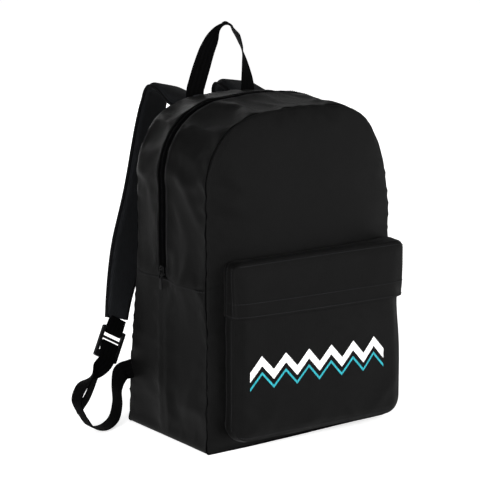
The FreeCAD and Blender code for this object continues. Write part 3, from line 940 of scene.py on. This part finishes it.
def binding(name, inset_y, column, nodes, leaf):
    """Tape folded over the seam allowance, inside the bag."""
    ring = GUSSET[:, column] - ring_outward() * 4.5 * MM
    ring[:, 1] += inset_y
    path, rings = ring_tube(ring, 3.4 * MM, 0.9 * MM, 10, 4.0)
    uv = ribbed(rings.shape[:2], np.linspace(0, 8 * MM, 10), lengths(path))
    fitted(closed_tube(name, rings, uv, BINDING), nodes, "bag", leaf)


def painted_seam_shadow(name, line, leaf):
    """Dark tube at the bottom of a seam: a painted shadow line, where the seam has no cord."""
    _, rings = ring_tube(line, 1.0 * MM, 1.0 * MM, 8, 2.0)
    fitted(closed_tube(name, rings, rings[..., [0, 2]], TAPE), (), "bag", leaf)


# dark tubes along the front and back seams: painted shadow in the seam grooves
painted_seam_shadow("painted_seam_shadow_front", GUSSET[:, 0], True)
painted_seam_shadow("painted_seam_shadow_back", GUSSET[:, -1], False)
binding("front_binding_tape", 5 * MM, 0, ("front_binding", "front_binding_lower"), True)
binding("back_binding_tape", -11 * MM, -1, ("back_binding",), False)


# --- zip ----------------------------------------------------------------------------------
def zip_tape(name, near, far, nodes, leaf):
    """Woven tape under the edge of the cloth."""
    out = grid_normals(GUSSET, closed=True)[UPPER].mean(axis=1)
    ys = np.linspace(near, far, 5)
    grid = np.stack([gusset_line(y, UPPER) - out * 1.5 * MM for y in ys], axis=1)
    obj = sheet(name, grid, ribbed(grid.shape[:2], ys, RING_S[UPPER]), CENTRE)
    paint(obj, TAPE)
    subdivide(obj)
    thicken(obj, 0.8 * MM)
    fitted(obj, nodes, "bag", leaf)


COIL_PITCH = 1.5 * MM
COIL_REACH = np.array([3.1, 2.4, 1.0, -0.1, -0.55]) * MM
COIL_RISE = np.array([-1.4, -0.4, -0.15, -0.2, -0.8]) * MM
COIL_R = np.array([0.55, 0.6, 0.6, 0.62, 0.45]) * MM


def zip_teeth(name, side, nodes, leaf):
    """One half of the coil: rounded loops that reach between those of the other half."""
    line = gusset_line(ZIP_Y, UPPER)[2:-2]
    count = int(lengths(line)[-1] / COIL_PITCH)
    where = (np.arange(count) + (0.25 if side < 0 else 0.75)) * lengths(line)[-1] / count
    centre = at_lengths(line, where)
    along = unit(np.gradient(centre, axis=0))
    out = unit(np.cross(along, Y_AXIS))
    stations = (centre[:, None] + Y_AXIS * (COIL_REACH * side)[None, :, None]
                + out[:, None] * COIL_RISE[None, :, None])
    first = np.repeat(out[:, None], len(COIL_R), axis=1)
    second = np.repeat(along[:, None], len(COIL_R), axis=1)
    fitted(beads(name, stations, first, second, COIL_R, COIL), nodes, "bag", leaf)


zip_tape("zip_tape_front_cloth", SLOT_FRONT - 6 * MM, ZIP_Y - 0.5 * MM,
         ("zip_tape_front", "zip_tape_front_ends"), True)
zip_tape("zip_tape_rear_cloth", ZIP_Y + 0.5 * MM, SLOT_REAR + 6 * MM, ("zip_tape_rear",), False)
zip_teeth("zip_teeth_front", -1, ("zip_coil_front", "zip_coil_front_ends"), True)
zip_teeth("zip_teeth_rear", 1, ("zip_coil_rear",), False)
leaf_blend(front_cloth)
leaf_blend(front_strip)


def lofted(name, sections):
    """Closed metal form through rounded sections: (centre, across, up, half width, half height)."""
    rings = []
    for centre, across, up, half_w, half_h in sections:
        rings.append(tube_rings(centre[None], across[None], up[None], half_w, half_h, 16, 3.2)[0])
    rings = np.array(rings)
    obj = closed_tube(name, rings, rings[..., [0, 2]], METAL)
    subdivide(obj)
    apply_modifiers(obj)
    return obj


def wire(name, path, radius, closed=False):
    """Bent metal wire of round section."""
    step = np.roll(path, -1, 0) - np.roll(path, 1, 0) if closed else np.gradient(path, axis=0)
    along = unit(step)
    across = unit(np.cross(along, np.tile([0.31, 0.17, 0.93], (len(path), 1))))
    verts = tube_rings(path, across, np.cross(along, across), radius, radius, 10).reshape(-1, 3)
    faces = grid_faces(len(path), 10, closed_rows=closed, closed_cols=True)
    return solid(name, verts, faces, verts[:, [0, 2]], METAL)


def slider_place(place, across, along, out):
    """Point near a slider, in its own millimetres; a place holds its origin, directions and scale."""
    origin, out_way, along_way, across_way, scale = place
    return origin + (across_way * across + along_way * along + out_way * out) * scale * MM


def slider_form(name, place, rows):
    """Form through the sections (along, out, half width, half height) of a slider."""
    out_way, across_way, size = place[1], place[3], place[4] * MM
    return lofted(name, [(slider_place(place, 0, along, out), across_way, out_way, w * size, h * size)
                         for along, out, w, h in rows])


def slider_parts(prefix, place):
    """Slider: two plates, a neck between them and a bridge."""
    plate = ((-7.2, 1.6, 3.4, 0.6), (-6.4, 1.6, 4.2, 0.95), (-3, 1.6, 4.6, 1.1), (0, 1.6, 5.2, 1.1),
             (3.5, 1.6, 5.2, 1.1), (6.4, 1.6, 4.6, 0.95), (7.2, 1.6, 3.8, 0.6))
    under = ((-7, -1.6, 3.4, 0.5), (0, -1.6, 4.8, 0.8), (7, -1.6, 3.8, 0.5))
    neck = ((1.5, 0, 0.7, 1.6), (3.0, 0, 0.7, 1.6), (5.5, 0, 0.7, 1.6))
    bridge = [slider_place(place, 0, along, out)
              for along, out in ((-4.5, 2.0), (-4.0, 4.0), (-1.0, 5.0), (3.0, 4.6), (5.0, 2.0))]
    parts = [slider_form(prefix + ending, place, rows)
             for ending, rows in (("_plate", plate), ("_under", under), ("_neck", neck))]
    parts.append(wire(prefix + "_bridge", spline(bridge, 6), 0.9 * place[-1] * MM))
    return joined(prefix + "_body", parts)


def pull_parts(prefix, place):
    """Pull: a ring round the bridge, and a tab that hangs from it."""
    ring = np.array([slider_place(place, 3.6 * math.sin(t), -5.2 - 5.6 * math.cos(t), 4.3 + 0.3 * math.cos(t))
                     for t in np.linspace(0, 2 * math.pi, 28, endpoint=False)])
    tab = ((-9.6, 4.2, 2.0, 0.6), (-10.4, 4.1, 2.9, 0.85), (-14, 3.9, 3.2, 0.8), (-22, 3.6, 3.5, 0.8),
           (-25.4, 3.5, 3.1, 0.8), (-26.4, 3.5, 2.2, 0.5))
    return joined(prefix + "_pull", [wire(prefix + "_ring", ring, 0.75 * place[-1] * MM, closed=True),
                                     slider_form(prefix + "_tab", place, tab)])


slider_low, slider_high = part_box("main_slider")
slider_z = (slider_low.z + slider_high.z) / 2
side_hit = GUSSET_TREE.ray_cast(Vector((-0.3, SLOT_FRONT - 1 * MM, slider_z)), Vector((1, 0, 0)))[0]
slider_at = np.array([side_hit.x + 0.3 * MM, ZIP_Y, slider_z])
for make, cad, body, scale in ((slider_parts, "main_slider", "slider", 1.0),
                               (pull_parts, "main_puller", "puller", 0.95)):
    piece = make("slider", (slider_at, -X_AXIS, Z_AXIS, Y_AXIS, scale))
    fitted(piece, (cad,), body)

# --- front pocket -------------------------------------------------------------------------
POCKET_OUT = box_outline(POCKET_HALF, POCKET_BASE, POCKET_MOUTH, POCKET_BASE_R, POCKET_TOP_R)
TOP_IN, BASE_IN = POCKET_TOP_R * (1 - DIAG), POCKET_BASE_R * (1 - DIAG)
P_B = mark(POCKET_OUT, -POCKET_HALF + TOP_IN, POCKET_MOUTH - TOP_IN)
P_D = mark(POCKET_OUT, POCKET_HALF - BASE_IN, POCKET_BASE + BASE_IN)
P_LEFT = side_steps(0, P_B, 44)
P_TOP = side_steps(P_B, P_D - P_B, 48)
P_BOTTOM = side_steps(P_D, lengths(POCKET_OUT)[-1], 48)
P_SHARES = np.array([0, 0.06, 0.2, 0.4, 0.6, 0.8, 0.94, 1.0])


def pocket_arrays():
    """Face grid of the pocket, and its side strip from the face back to the bag."""
    edges = [at_lengths(POCKET_OUT, where) for where in (P_BOTTOM[::-1], P_TOP, P_LEFT, P_D - P_LEFT)]
    flat = coons(*edges) + np.array([POCKET_X, 0])
    waist = np.exp(-((flat[..., 1] - 175 * MM) / (45 * MM)) ** 2)
    flat[..., 0] -= 6 * MM * smooth(flat[..., 0], 40 * MM, 140 * MM) * waist
    u, v = patch_shares(P_LEFT, P_TOP)
    border = border_gap(u, v, 2 * POCKET_HALF, POCKET_MOUTH - POCKET_BASE)
    edge = POCKET_Y + 2.0 * MM - 6 * MM * u
    full = 4.0 * MM * smooth(border, 0, 14 * MM)
    full = full + 6.5 * MM * swell(u, 2.2) * np.sin(math.pi * np.clip(v / 0.92, 0, 1)) ** 0.8
    face = np.stack([flat[..., 0], edge - full, flat[..., 1]], axis=-1)
    out = -grid_normals(face)
    relief = rumpled(face, (1.5, 60, 21), (0.6, 22, 23))
    relief += puckers(face[..., 0] + face[..., 2], border, 25, 1.1)
    face = raised(face, out, relief * smooth(border, 0, 10 * MM), POCKET_FOLDS)
    ring = np.concatenate([face[:-1, 0], face[-1, :-1], face[:0:-1, -1], face[0, :0:-1]])
    seat = np.array([(x, depth_at(FRONT_TREE, x * 0.995, z) + 0.4 * MM, z) for x, _, z in ring])
    shares = P_SHARES[:, None]
    strip = ring[:, None] * (1 - shares) + seat[:, None] * shares
    step = np.roll(ring, -1, 0) - np.roll(ring, 1, 0)
    sideways = unit(np.stack([-step[:, 2], np.zeros(len(ring)), step[:, 0]], axis=1))
    bulge = 2.6 * MM * swell(P_SHARES) + rumpled(strip, (0.8, 30, 31))
    bulge = bulge * smooth(np.minimum(P_SHARES, 1 - P_SHARES), 0, 0.15)
    return face, raised(strip, sideways[:, None], bulge), lengths(ring)


POCKET_FOLDS = (
    ((-132, -118, 72), (-92, -120, 40), 6, 2.2),
    ((-104, -118, 22), (-76, -120, 46), 6, 1.9),
    ((-126, -118, 98), (-104, -120, 84), 6, 1.6),
    ((-84, -118, 16), (-60, -120, 66), 7, 1.4),
    ((128, -118, 60), (100, -120, 36), 7, 2.0),
    ((70, -118, 18), (52, -120, 44), 6, 1.4),
    ((-20, -120, 24), (16, -120, 40), 8, 1.2),
    ((-128, -118, 150), (-98, -120, 158), 6, 1.3),
)
P_FACE, P_STRIP, P_ALONG = pocket_arrays()
STRIP_UV = ribbed(P_STRIP.shape[:2], P_SHARES * 28 * MM, P_ALONG)
pocket_face = shell_piece("pocket_face_cloth", P_FACE, P_FACE[..., [0, 2]],
                          ("pocket_face", "pocket_upper_panel"), "bag", POCKET_IN)
pocket_side = shell_piece("pocket_side_cloth", np.concatenate([P_STRIP, P_STRIP[:1]]),
                          np.concatenate([STRIP_UV, STRIP_UV[:1]]),
                          ("pocket_gusset", "pocket_top_strip"), "bag", POCKET_IN)
FACE_TREE = surface_of(pocket_face)


def face_y(x, z):
    """How far forward the pocket face is at one place."""
    return depth_at(FACE_TREE, x, z)


def pocket_half(z):
    """Half width of the pocket near its mouth."""
    r = POCKET_TOP_R
    over = np.clip(z - (POCKET_MOUTH - r), 0, r)
    return POCKET_HALF - r + math.sqrt(max(r * r - over * over, 0))


def flap_section(z, drop):
    """Section of the flap: from one side of the pocket, round the face to the other side."""
    half = pocket_half(z) + 2.2 * MM
    low = smooth(drop, 0.25, 1.0)
    stand = (1.8 + 3.6 * low) * MM
    side_y = FRONT_Y - 6 * MM
    middle = []
    for x in np.linspace(-half + 7 * MM, half - 7 * MM, 40) + POCKET_X:
        full = 2.5 * MM * smooth(x, 40 * MM, 140 * MM) * (1 - low)
        middle.append((x, face_y(x, min(z, POCKET_MOUTH - 6 * MM)) - stand - full, z))
    ends = []
    for sign, front in ((-1, middle[0][1]), (1, middle[-1][1])):
        flare = low if sign < 0 else 3.5 - 4.5 * low
        shape = ((0, side_y), (0.7 * flare, side_y - 7 * MM), (flare, front + 11 * MM),
                 (0.8 * flare, front + 6 * MM), (-0.8, front + 2.6 * MM), (-3.2, front + 0.6 * MM))
        ends.append([(sign * (half + a * MM) + POCKET_X, y, z) for a, y in shape])
    return np.array(ends[0] + middle + ends[1][::-1])


def flap_rows():
    """Grid of the flap and the heights of its rows; its right end hangs a little lower."""
    rows = []
    zs = np.concatenate([FLAP_LOW.z + np.array([0, 1, 4]) * MM,
                         np.linspace(FLAP_LOW.z + 9 * MM, POCKET_MOUTH - 14 * MM, 11),
                         POCKET_MOUTH - np.array([9, 5, 2.4, 0.8]) * MM])
    for z in zs:
        drop = (POCKET_MOUTH - z) / (POCKET_MOUTH - FLAP_LOW.z)
        row = flap_section(z, drop)
        row[:, 1] += 2.2 * MM * smooth(z, POCKET_MOUTH - 6 * MM, POCKET_MOUTH)
        row[:, 2] -= 2.1 * MM * drop * row[:, 0] / POCKET_HALF
        rows.append(row)
    grid = np.array(rows)
    return raised(grid, -grid_normals(grid), rumpled(grid, (0.9, 45, 41), (0.35, 16, 43))), zs


FLAP, FLAP_Z = flap_rows()
flap_across = np.array([lengths(row) for row in FLAP])
flap = shell_piece("pocket_flap_cloth", FLAP, np.stack([flap_across, FLAP[..., 2]], axis=-1),
                   ("pocket_flap",), "bag", POCKET_IN, 1.5 * MM)
FLAP_TREE = surface_of(flap)


def flap_line(z, inset):
    """Points along the flap at one height."""
    row = int(np.clip(np.searchsorted(FLAP_Z, z), 1, len(FLAP_Z) - 1))
    t = (z - FLAP_Z[row - 1]) / (FLAP_Z[row] - FLAP_Z[row - 1])
    line = FLAP[row - 1] * (1 - t) + FLAP[row] * t
    return line[inset:len(line) - inset]


seam_row("stitch_flap_hem", FLAP_TREE, flap_line(FLAP_LOW.z + 20 * MM, 1))
seam_row("stitch_flap_edge", FLAP_TREE, flap_line(FLAP_LOW.z + EDGE_STITCH, 1))
seam_row("stitch_flap_top", FLAP_TREE, flap_line(POCKET_MOUTH - 4 * MM, 6))
for label, column in (("left_outer", 1), ("left_inner", 3), ("right_inner", -4), ("right_outer", -2)):
    seam_row("stitch_flap_" + label, FLAP_TREE, FLAP[1:-2, column])


def face_grid(xs, heights, lift):
    """Grid just above the pocket face: one column of heights for each x."""
    return np.array([[(x, face_y(x, z) - lift, z) for z in column] for x, column in zip(xs, heights)])


SMALL_PITCH = 1.4 * MM
SMALL_REACH = np.array([2.4, 1.6, 0.4, -0.4]) * MM
SMALL_R = np.array([0.4, 0.5, 0.5, 0.35]) * MM


def hidden_zip():
    """Small zip across the pocket, under the flap."""
    z0 = (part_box("pocket_tape_lower")[0].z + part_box("pocket_tape_upper")[1].z) / 2
    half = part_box("pocket_tape_upper")[1].x
    xs = np.linspace(-half, half, 60)
    for label, side, nodes in (("upper", 1, ("pocket_tape_upper", "pocket_zip_ends")),
                               ("lower", -1, ("pocket_tape_lower",))):
        heights = z0 + side * np.array([0.4, 3, 5.5]) * MM
        grid = face_grid(xs, [heights] * len(xs), 0.5 * MM)
        tape = sheet("pocket_tape_cloth_" + label, grid, grid[..., [0, 2]], POCKET_IN)
        paint(tape, TAPE)
        thicken(tape, 0.5 * MM)
        fitted(tape, nodes, "bag")
        count = int(2 * half / SMALL_PITCH)
        x = -half + (np.arange(count) + (0.25 if side > 0 else 0.75)) * 2 * half / count
        stations = face_grid(x, [[z0]] * count, 0.9 * MM) + Z_AXIS * (SMALL_REACH * side)[None, :, None]
        first = np.broadcast_to(-Y_AXIS, stations.shape)
        second = np.broadcast_to(X_AXIS, stations.shape)
        teeth = beads("pocket_teeth_" + label, stations, first, second, SMALL_R, COIL)
        fitted(teeth, ("pocket_coil_" + label,), "bag")
    low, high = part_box("pocket_slider")
    x0 = (low.x + high.x) / 2
    at = np.array([x0, face_y(x0, z0) - 0.6 * MM, z0])
    for make, cad, scale in ((slider_parts, "pocket_slider", 0.5), (pull_parts, "pocket_puller", 0.42)):
        piece = make("pocket_slider", (at, -Y_AXIS, X_AXIS, Z_AXIS, scale))
        fitted(piece, (cad,), "pocket_slider")


hidden_zip()
SIDE_TREE = surface_of(pocket_side)
right_start = len(P_LEFT) + len(P_TOP) + 8
right_end = 2 * len(P_LEFT) + len(P_TOP) - 6
for label, rows in (("left", slice(3, 34)), ("right", slice(right_start, right_end))):
    seam_row(f"stitch_pocket_{label}_outer", SIDE_TREE, P_STRIP[rows, 5])
    seam_row(f"stitch_pocket_{label}_inner", SIDE_TREE, P_STRIP[rows, 2])
seam_row("stitch_pocket_base", FACE_TREE, P_FACE[2, 2:-2])


# --- print: two chevron bands -------------------------------------------------------------
def chevron(name, node_name, material, band):
    """Zigzag band of ink on the pocket face, over the place of its CAD node."""
    low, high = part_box(node_name)
    steps = 6
    xs = np.linspace(low.x, high.x, steps * 24 + 1)
    phase = np.abs((xs - low.x) * steps / (high.x - low.x) % 1.0 - 0.5) * 2
    base = low.z + (high.z - low.z - band) * (1 - phase)
    grid = face_grid(xs, base[:, None] + np.linspace(0, band, 6), 0.28 * MM)
    obj = sheet(name, grid, grid[..., [0, 2]], POCKET_IN)
    paint(obj, material)
    thicken(obj, 0.2 * MM)
    fitted(obj, (node_name,), "bag")


chevron("print_white_ink", "print_band", PRINT_WHITE, 13 * MM)
chevron("print_teal_ink", "print_accent", PRINT_TEAL, 4 * MM)


# --- webbing, straps and locks ------------------------------------------------------------
def ribbon(name, path, side, nodes):
    """Webbing: a flat band with rounded edges that follows a path."""
    across, normal = path_frames(path, side)
    uneven = 0.25 * MM * lumps(path / (30 * MM), 1.0, len(name))
    rings = tube_rings(path + normal * uneven[:, None], across, normal, WEB_W / 2, WEB_T / 2, 20, 5.0)
    turn = np.linspace(0, 2 * math.pi, 20, endpoint=False)
    uv = ribbed(rings.shape[:2], np.cos(turn) * WEB_W / 2, lengths(path))
    obj = closed_tube(name, rings, uv, WEBBING)
    fitted(obj, nodes)
    return obj


def turned(start, end, amount):
    """Directions that turn from one to another as the amounts go from 0 to 1."""
    return unit(np.array(start) * (1 - amount[:, None]) + np.array(end) * amount[:, None])


HANDLE_LOW, HANDLE_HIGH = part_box("grab_handle")
handle_y = (HANDLE_LOW.y + HANDLE_HIGH.y) / 2
# twist of the handle about the vertical in degrees, by share of its length
HANDLE_TWIST = ((0, -16), (0.2, -14), (0.3, -4), (0.38, 8), (0.5, 42), (0.6, 76), (0.68, 66), (0.78, 40),
                (0.88, 18), (1, 0))


def handle():
    """Grab handle: a loop of webbing that leans to one side and twists at its top."""
    half = [(43, -16), (43, 2), (41, 12), (35, 34), (27, 58), (14, 80)]
    left = [(-x, z) for x, z in half]
    course = [(x, z, 10 * (1 - max(z, 0) / 110)) for x, z in left + [(1, 88.2)] + half[::-1]]
    path = np.array([((x - lean) * MM, handle_y, HEIGHT + z * MM) for x, z, lean in course])
    path = even(spline(path, 14), 120)
    fraction = lengths(path) / lengths(path)[-1]
    turn = np.radians(np.interp(fraction, *zip(*HANDLE_TWIST)))
    side = np.stack([np.cos(turn), np.sin(turn), np.zeros(len(turn))], axis=1)
    obj = ribbon("handle_webbing", path, side, ("grab_handle", "handle_ends"))
    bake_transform(obj)


handle()


def back_y(x, z):
    """How far back the back panel is at one place."""
    return depth_at(BACK_TREE, x, z, -1)


# course of the left strap in millimetres, then (distance, turn, bank) in millimetres and degrees
STRAP_COURSE = ((-57, 106, 435), (-58, 130, 442), (-60, 149, 444), (-65, 160, 431), (-74, 161, 395),
                (-99, 148, 310), (-126, 137, 235), (-147, 126.5, 175), (-156.5, 120.6, 141))
STRAP_TURN = ((0, 0, 0), (60, 2, 2), (85, 6, 12), (105, 14, 14), (130, 21, 4), (200, 17, 0),
              (330, 10, 0), (430, 3, 0))
STRAP_ROOT_X = 56 * MM
STRAP_WIDE, STRAP_NARROW = 60 * MM, 34 * MM


def strap_path(flip):
    """Middle line of a strap; the right one's crest sits a little lower."""
    roots = [(-STRAP_ROOT_X, back_y(-STRAP_ROOT_X * flip, z * MM) + lift * MM, z * MM)
             for z, lift in ((390, 2.5), (408, 3.5), (426, 7))]
    course = [np.array(p) * MM for p in STRAP_COURSE]
    path = even(spline(roots + course, 14), 150)
    if flip < 0:
        path[:, 2] -= 4 * MM * smooth(path[:, 2], 410 * MM, 440 * MM)
    return path


def strap_profile(path):
    """Width and padding along the strap."""
    reach = lengths(path)
    fraction = np.clip((reach - 40 * MM) / (reach[-1] - 40 * MM), 0, 1)
    narrow = smooth(fraction, 0.70, 1.06)
    width = STRAP_WIDE + (STRAP_NARROW - STRAP_WIDE) * narrow
    padding = smooth(reach, 22 * MM, 60 * MM) * (1 - smooth(fraction, 0.955, 1.0)) * 4.6 * MM
    return width, padding


def strap_grid(path, flip, seed):
    """Rings round the strap: full in the middle, pinched flat along both stitched edges."""
    where, turns, banks = np.array(STRAP_TURN).T
    turn = np.radians(np.interp(lengths(path) / MM, where, turns))
    bank = np.radians(np.interp(lengths(path) / MM, where, banks)) * (1 if flip > 0 else -0.5)
    side = np.stack([np.cos(turn) * np.cos(bank), np.sin(turn) * np.cos(bank), -np.sin(bank)], axis=1)
    across, normal = path_frames(path, side)
    width, padding = strap_profile(path)
    s = np.concatenate([np.linspace(-1, -0.8, 5), np.linspace(-0.7, 0.7, 11), np.linspace(0.8, 1, 5)])
    pinch = 1 - smooth(np.abs(s), 0.74, 0.90)
    rings = []
    for sign in (1, -1):
        order, soft = s[::sign], pinch[::sign]
        centre = path[:, None] + across[:, None] * (order[None, :, None] * width[:, None, None] / 2)
        half = 0.8 * MM + padding[:, None] * soft[None] * (1.12 if sign > 0 else 0.8)
        half = half + 0.6 * MM * lumps(centre / (26 * MM), 1.0, seed + sign) * soft[None]
        rings.append(centre + normal[:, None] * (sign * half[..., None]))
    rings = np.concatenate(rings, axis=1)
    return rings, s, width, across, normal


def mirrored(points, flip):
    return points * np.array([flip, 1, 1])


def strap_blend(obj):
    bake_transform(obj)


LOCK_DOWN = unit(np.array([-0.50, -0.20, -0.84]))
LOCK_ACROSS = unit(np.array([1.0, 0.05, 0.0]))
LOCK_ACROSS = unit(LOCK_ACROSS - LOCK_DOWN * (LOCK_ACROSS @ LOCK_DOWN))
LOCK_OUT = np.cross(-LOCK_DOWN, LOCK_ACROSS)
STRAP_INSET = 5.4 * MM


def strap(label, flip, seed):
    """Padded strap with a binding tape and a row of stitches along both edges."""
    path = strap_path(flip)
    rings, s, width, across, normal = strap_grid(path, flip, seed)
    reach = lengths(path)
    around = np.concatenate([s, s[::-1]])
    uv = ribbed(rings.shape[:2], around * width[:, None] / 2, reach)
    pad = closed_tube("strap_pad_" + label, mirrored(rings, flip), uv, STRAP_CLOTH)
    subdivide(pad)
    strap_blend(pad)
    fitted(pad, [f"strap_{layer}_{label}" for layer in ("outer", "foam", "lining")])
    for edge, sign in (("inner", 1), ("outer", -1)):
        line = path + across * (sign * (width / 2 - EDGE_STITCH))[:, None]
        tape_rings = tube_rings(line[4:], across[4:], normal[4:], 3.6 * MM, 1.35 * MM, 12, 3.5)
        tape_uv = ribbed(tape_rings.shape[:2], np.linspace(0, 9 * MM, 12), reach[4:])
        tape = closed_tube(f"strap_binding_{edge}_{label}", mirrored(tape_rings, flip), tape_uv, BINDING)
        thread = path + across * (sign * (width / 2 - STRAP_INSET))[:, None] + normal * 1.35 * MM
        rows = stitches(f"stitch_strap_{edge}_{label}", mirrored(thread, flip)[6:-2],
                        mirrored(normal, flip)[6:-2])
        for piece in (tape, rows):
            strap_blend(piece)
            fitted(piece)


def half_turn(bar, radius, sign):
    """Half circle of places (across, out, up) round a bar of the lock."""
    return [(0, radius * math.sin(t), bar + sign * radius * math.cos(t))
            for t in np.linspace(-math.pi / 2, math.pi / 2, 9)]


# courses of the webbing at the left lock, in millimetres: on the bag's axes for the part near the
# floor, and as (across, out, up) from the lock's pivot for the parts that pass through the lock
LOW_COURSE = ((-140, 93, 78), (-151.5, 97, 75), (-163, 99, 71), (-171, 98, 52), (-172, 96, 30),
              (-181, 92, 11), (-200, 88, 3.2), (-219, 88, 8), (-232, 89, 26))
RISING_COURSE = ((-239, 91, 45), (-230, 94, 62), (-207, 100, 76))
HOOK_COURSE = [(0, -4.6, -46), (0, -4.0, -34)] + half_turn(-21.6, 4.0, 1) + [
    (0, 4.2, -34), (0, 5.2, -46), (0, 8, -64), (0, 9, -82), (-3, 7, -98), (-8, 5, -112)]
LOOP_COURSE = [(0, -2.2, 17), (0, -2.6, 10), (0, -3.2, 4)] + half_turn(-3.4, 3.2, -1) + [
    (0, 3.2, 4), (0, 2.6, 10), (0, 2.2, 17)]


def lock_parts(label, flip):
    """Webbing round and through one ladder lock, and the finish of the lock."""
    joint = [j for j in frame["record"]["behaviour"]["joints"] if j["name"] == f"lock_{label}_tilt"][0]
    pivot = mirrored(np.array(joint["pos_m"]), flip)
    lock_axes = np.array([LOCK_ACROSS, LOCK_OUT, -LOCK_DOWN]) * MM
    loop = even(spline(pivot + np.array(LOOP_COURSE) @ lock_axes, 6), 60)
    side = np.tile(mirrored(LOCK_ACROSS, flip), (60, 1))
    loop = ribbon("lock_loop_web_" + label, mirrored(loop, flip), side, ("lock_loop_" + label,))
    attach(loop, "strap_" + label)

    lower = even(spline(np.array(LOW_COURSE) * MM, 14), 110)
    fraction = lengths(lower) / lengths(lower)[-1]
    side = turned((0, 0.3, 1), (0, 1, 0), smooth(fraction, 0.05, 0.4))
    low_web = ribbon("web_low_" + label, mirrored(lower, flip), mirrored(side, flip), ("web_lower_" + label,))
    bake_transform(low_web)

    course = [lower[-1:], np.array(RISING_COURSE) * MM, pivot + np.array(HOOK_COURSE) @ lock_axes]
    upper = even(spline(np.concatenate(course), 12), 190)
    reach = lengths(upper)
    amount = smooth(reach, 42 * MM, 90 * MM) * (1 - 0.45 * smooth(reach, 118 * MM, 160 * MM))
    side = turned((0, 1, 0), LOCK_ACROSS, amount)
    high_web = ribbon("web_high_" + label, mirrored(upper, flip), mirrored(side, flip),
                      ("lock_webbing_" + label,))
    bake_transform(high_web)

    lock = frame["nodes"]["ladder_lock_" + label]
    paint(lock, PLASTIC)
    modifier(lock, "WELD", merge_threshold=0.02 * MM)
    modifier(lock, "BEVEL", width=0.5 * MM, segments=3, limit_method="ANGLE", angle_limit=math.radians(40))


for label, flip, seed in (("left", 1, 51), ("right", -1, 61)):
    strap(label, flip, seed)
    lock_parts(label, flip)


def yoke():
    """Cloth patch over the roots of both straps."""
    low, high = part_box("strap_yoke")
    grid = np.zeros((16, 60, 3))
    for row, z in zip(grid, np.linspace(low.z, high.z, 16)):
        for point, x in zip(row, np.linspace(low.x, high.x, 60)):
            over = 1 - smooth(abs(abs(x) - STRAP_ROOT_X), 28 * MM, 38 * MM)
            stand = 1.2 + over * (4.2 + 4.5 * smooth(z, 392 * MM, 418 * MM))
            point[:] = x, back_y(x, z) + stand * MM, z
    obj = sheet("yoke_patch", grid, grid[..., [0, 2]], (0, 0, 0.4))
    paint(obj, SHELL)
    subdivide(obj)
    thicken(obj, 1.0 * MM)
    fitted(obj, ("strap_yoke",), "bag")
    tree = surface_of(obj)
    border = np.concatenate([grid[1, 1:-1], grid[1:-1, -2], grid[-2, 1:-1][::-1], grid[1:-1, 1][::-1]])
    seam_row("stitch_yoke", tree, border)
    for label, x0 in (("left", -STRAP_ROOT_X), ("right", STRAP_ROOT_X)):
        w, z0, z1 = 20 * MM, low.z + 7 * MM, high.z - 7 * MM
        corners = [(x0 - w, z0), (x0 + w, z0), (x0 + w, z1), (x0 - w, z1), (x0 - w, z0), (x0 + w, z1)]
        line = np.array([(x, back_y(x, z) + 6 * MM, z) for x, z in corners])
        seam_row("stitch_yoke_box_" + label, tree, line)


yoke()

# --- surroundings -------------------------------------------------------------------------
SKY_LIGHT = 0.42             # the backdrop lights the bag less than it shows, so that folds read
scene.view_settings.view_transform = "Standard"
world = bpy.data.worlds.new("studio")
scene.world = world
world.use_nodes = True
sky = world.node_tree.nodes["Background"].inputs
sky["Color"].default_value = (1, 1, 1, 1)
seen = node(world.node_tree, "ShaderNodeLightPath").outputs["Is Camera Ray"]
world.node_tree.links.new(scaled(world.node_tree, seen, 0, 1, SKY_LIGHT, 1), sky["Strength"])

bpy.ops.mesh.primitive_plane_add(size=12, location=(0, 0, 0))
floor = bpy.context.object
floor.name = "floor"
floor_paint, _, floor_shader = new_material("floor_paint")
for key, value in {"Base Color": (0.93, 0.93, 0.93, 1), "Roughness": 0.9, "Specular IOR Level": 0.1,
                   "Emission Color": (1, 1, 1, 1), "Emission Strength": 0.60}.items():
    floor_shader.inputs[key].default_value = value
paint(floor, floor_paint)


def aimed(name, data, place, aim):
    """A lamp or camera at a place, looking at another."""
    obj = bpy.data.objects.new(name, data)
    obj.location = place
    obj.rotation_euler = (Vector(aim) - Vector(place)).to_track_quat("-Z", "Y").to_euler()
    scene.collection.objects.link(obj)
    return obj


LAMP_AIM = (0, 0, 0.25)
for name, place, size, power in (("key_light", (1.5, -2.5, 0.9), 1.1, 60),
                                 ("side_light", (-2.4, -1.6, 0.9), 0.9, 84),
                                 ("back_light", (0.6, 2.8, 0.5), 1.6, 36)):
    light = bpy.data.lights.new(name, "AREA")
    light.size = size
    light.energy = power
    aimed(name, light, place, LAMP_AIM)

CAMERA_PLACE = (-1.658, -2.290, 0.868)       # from the front left, a little above the bag
CAMERA_AIM = (-0.0226, 0.0198, 0.2512)
camera_data = bpy.data.cameras.new("camera")
camera_data.lens = 161.9
camera_data.sensor_width = 36
scene.camera = aimed("camera", camera_data, CAMERA_PLACE, CAMERA_AIM)
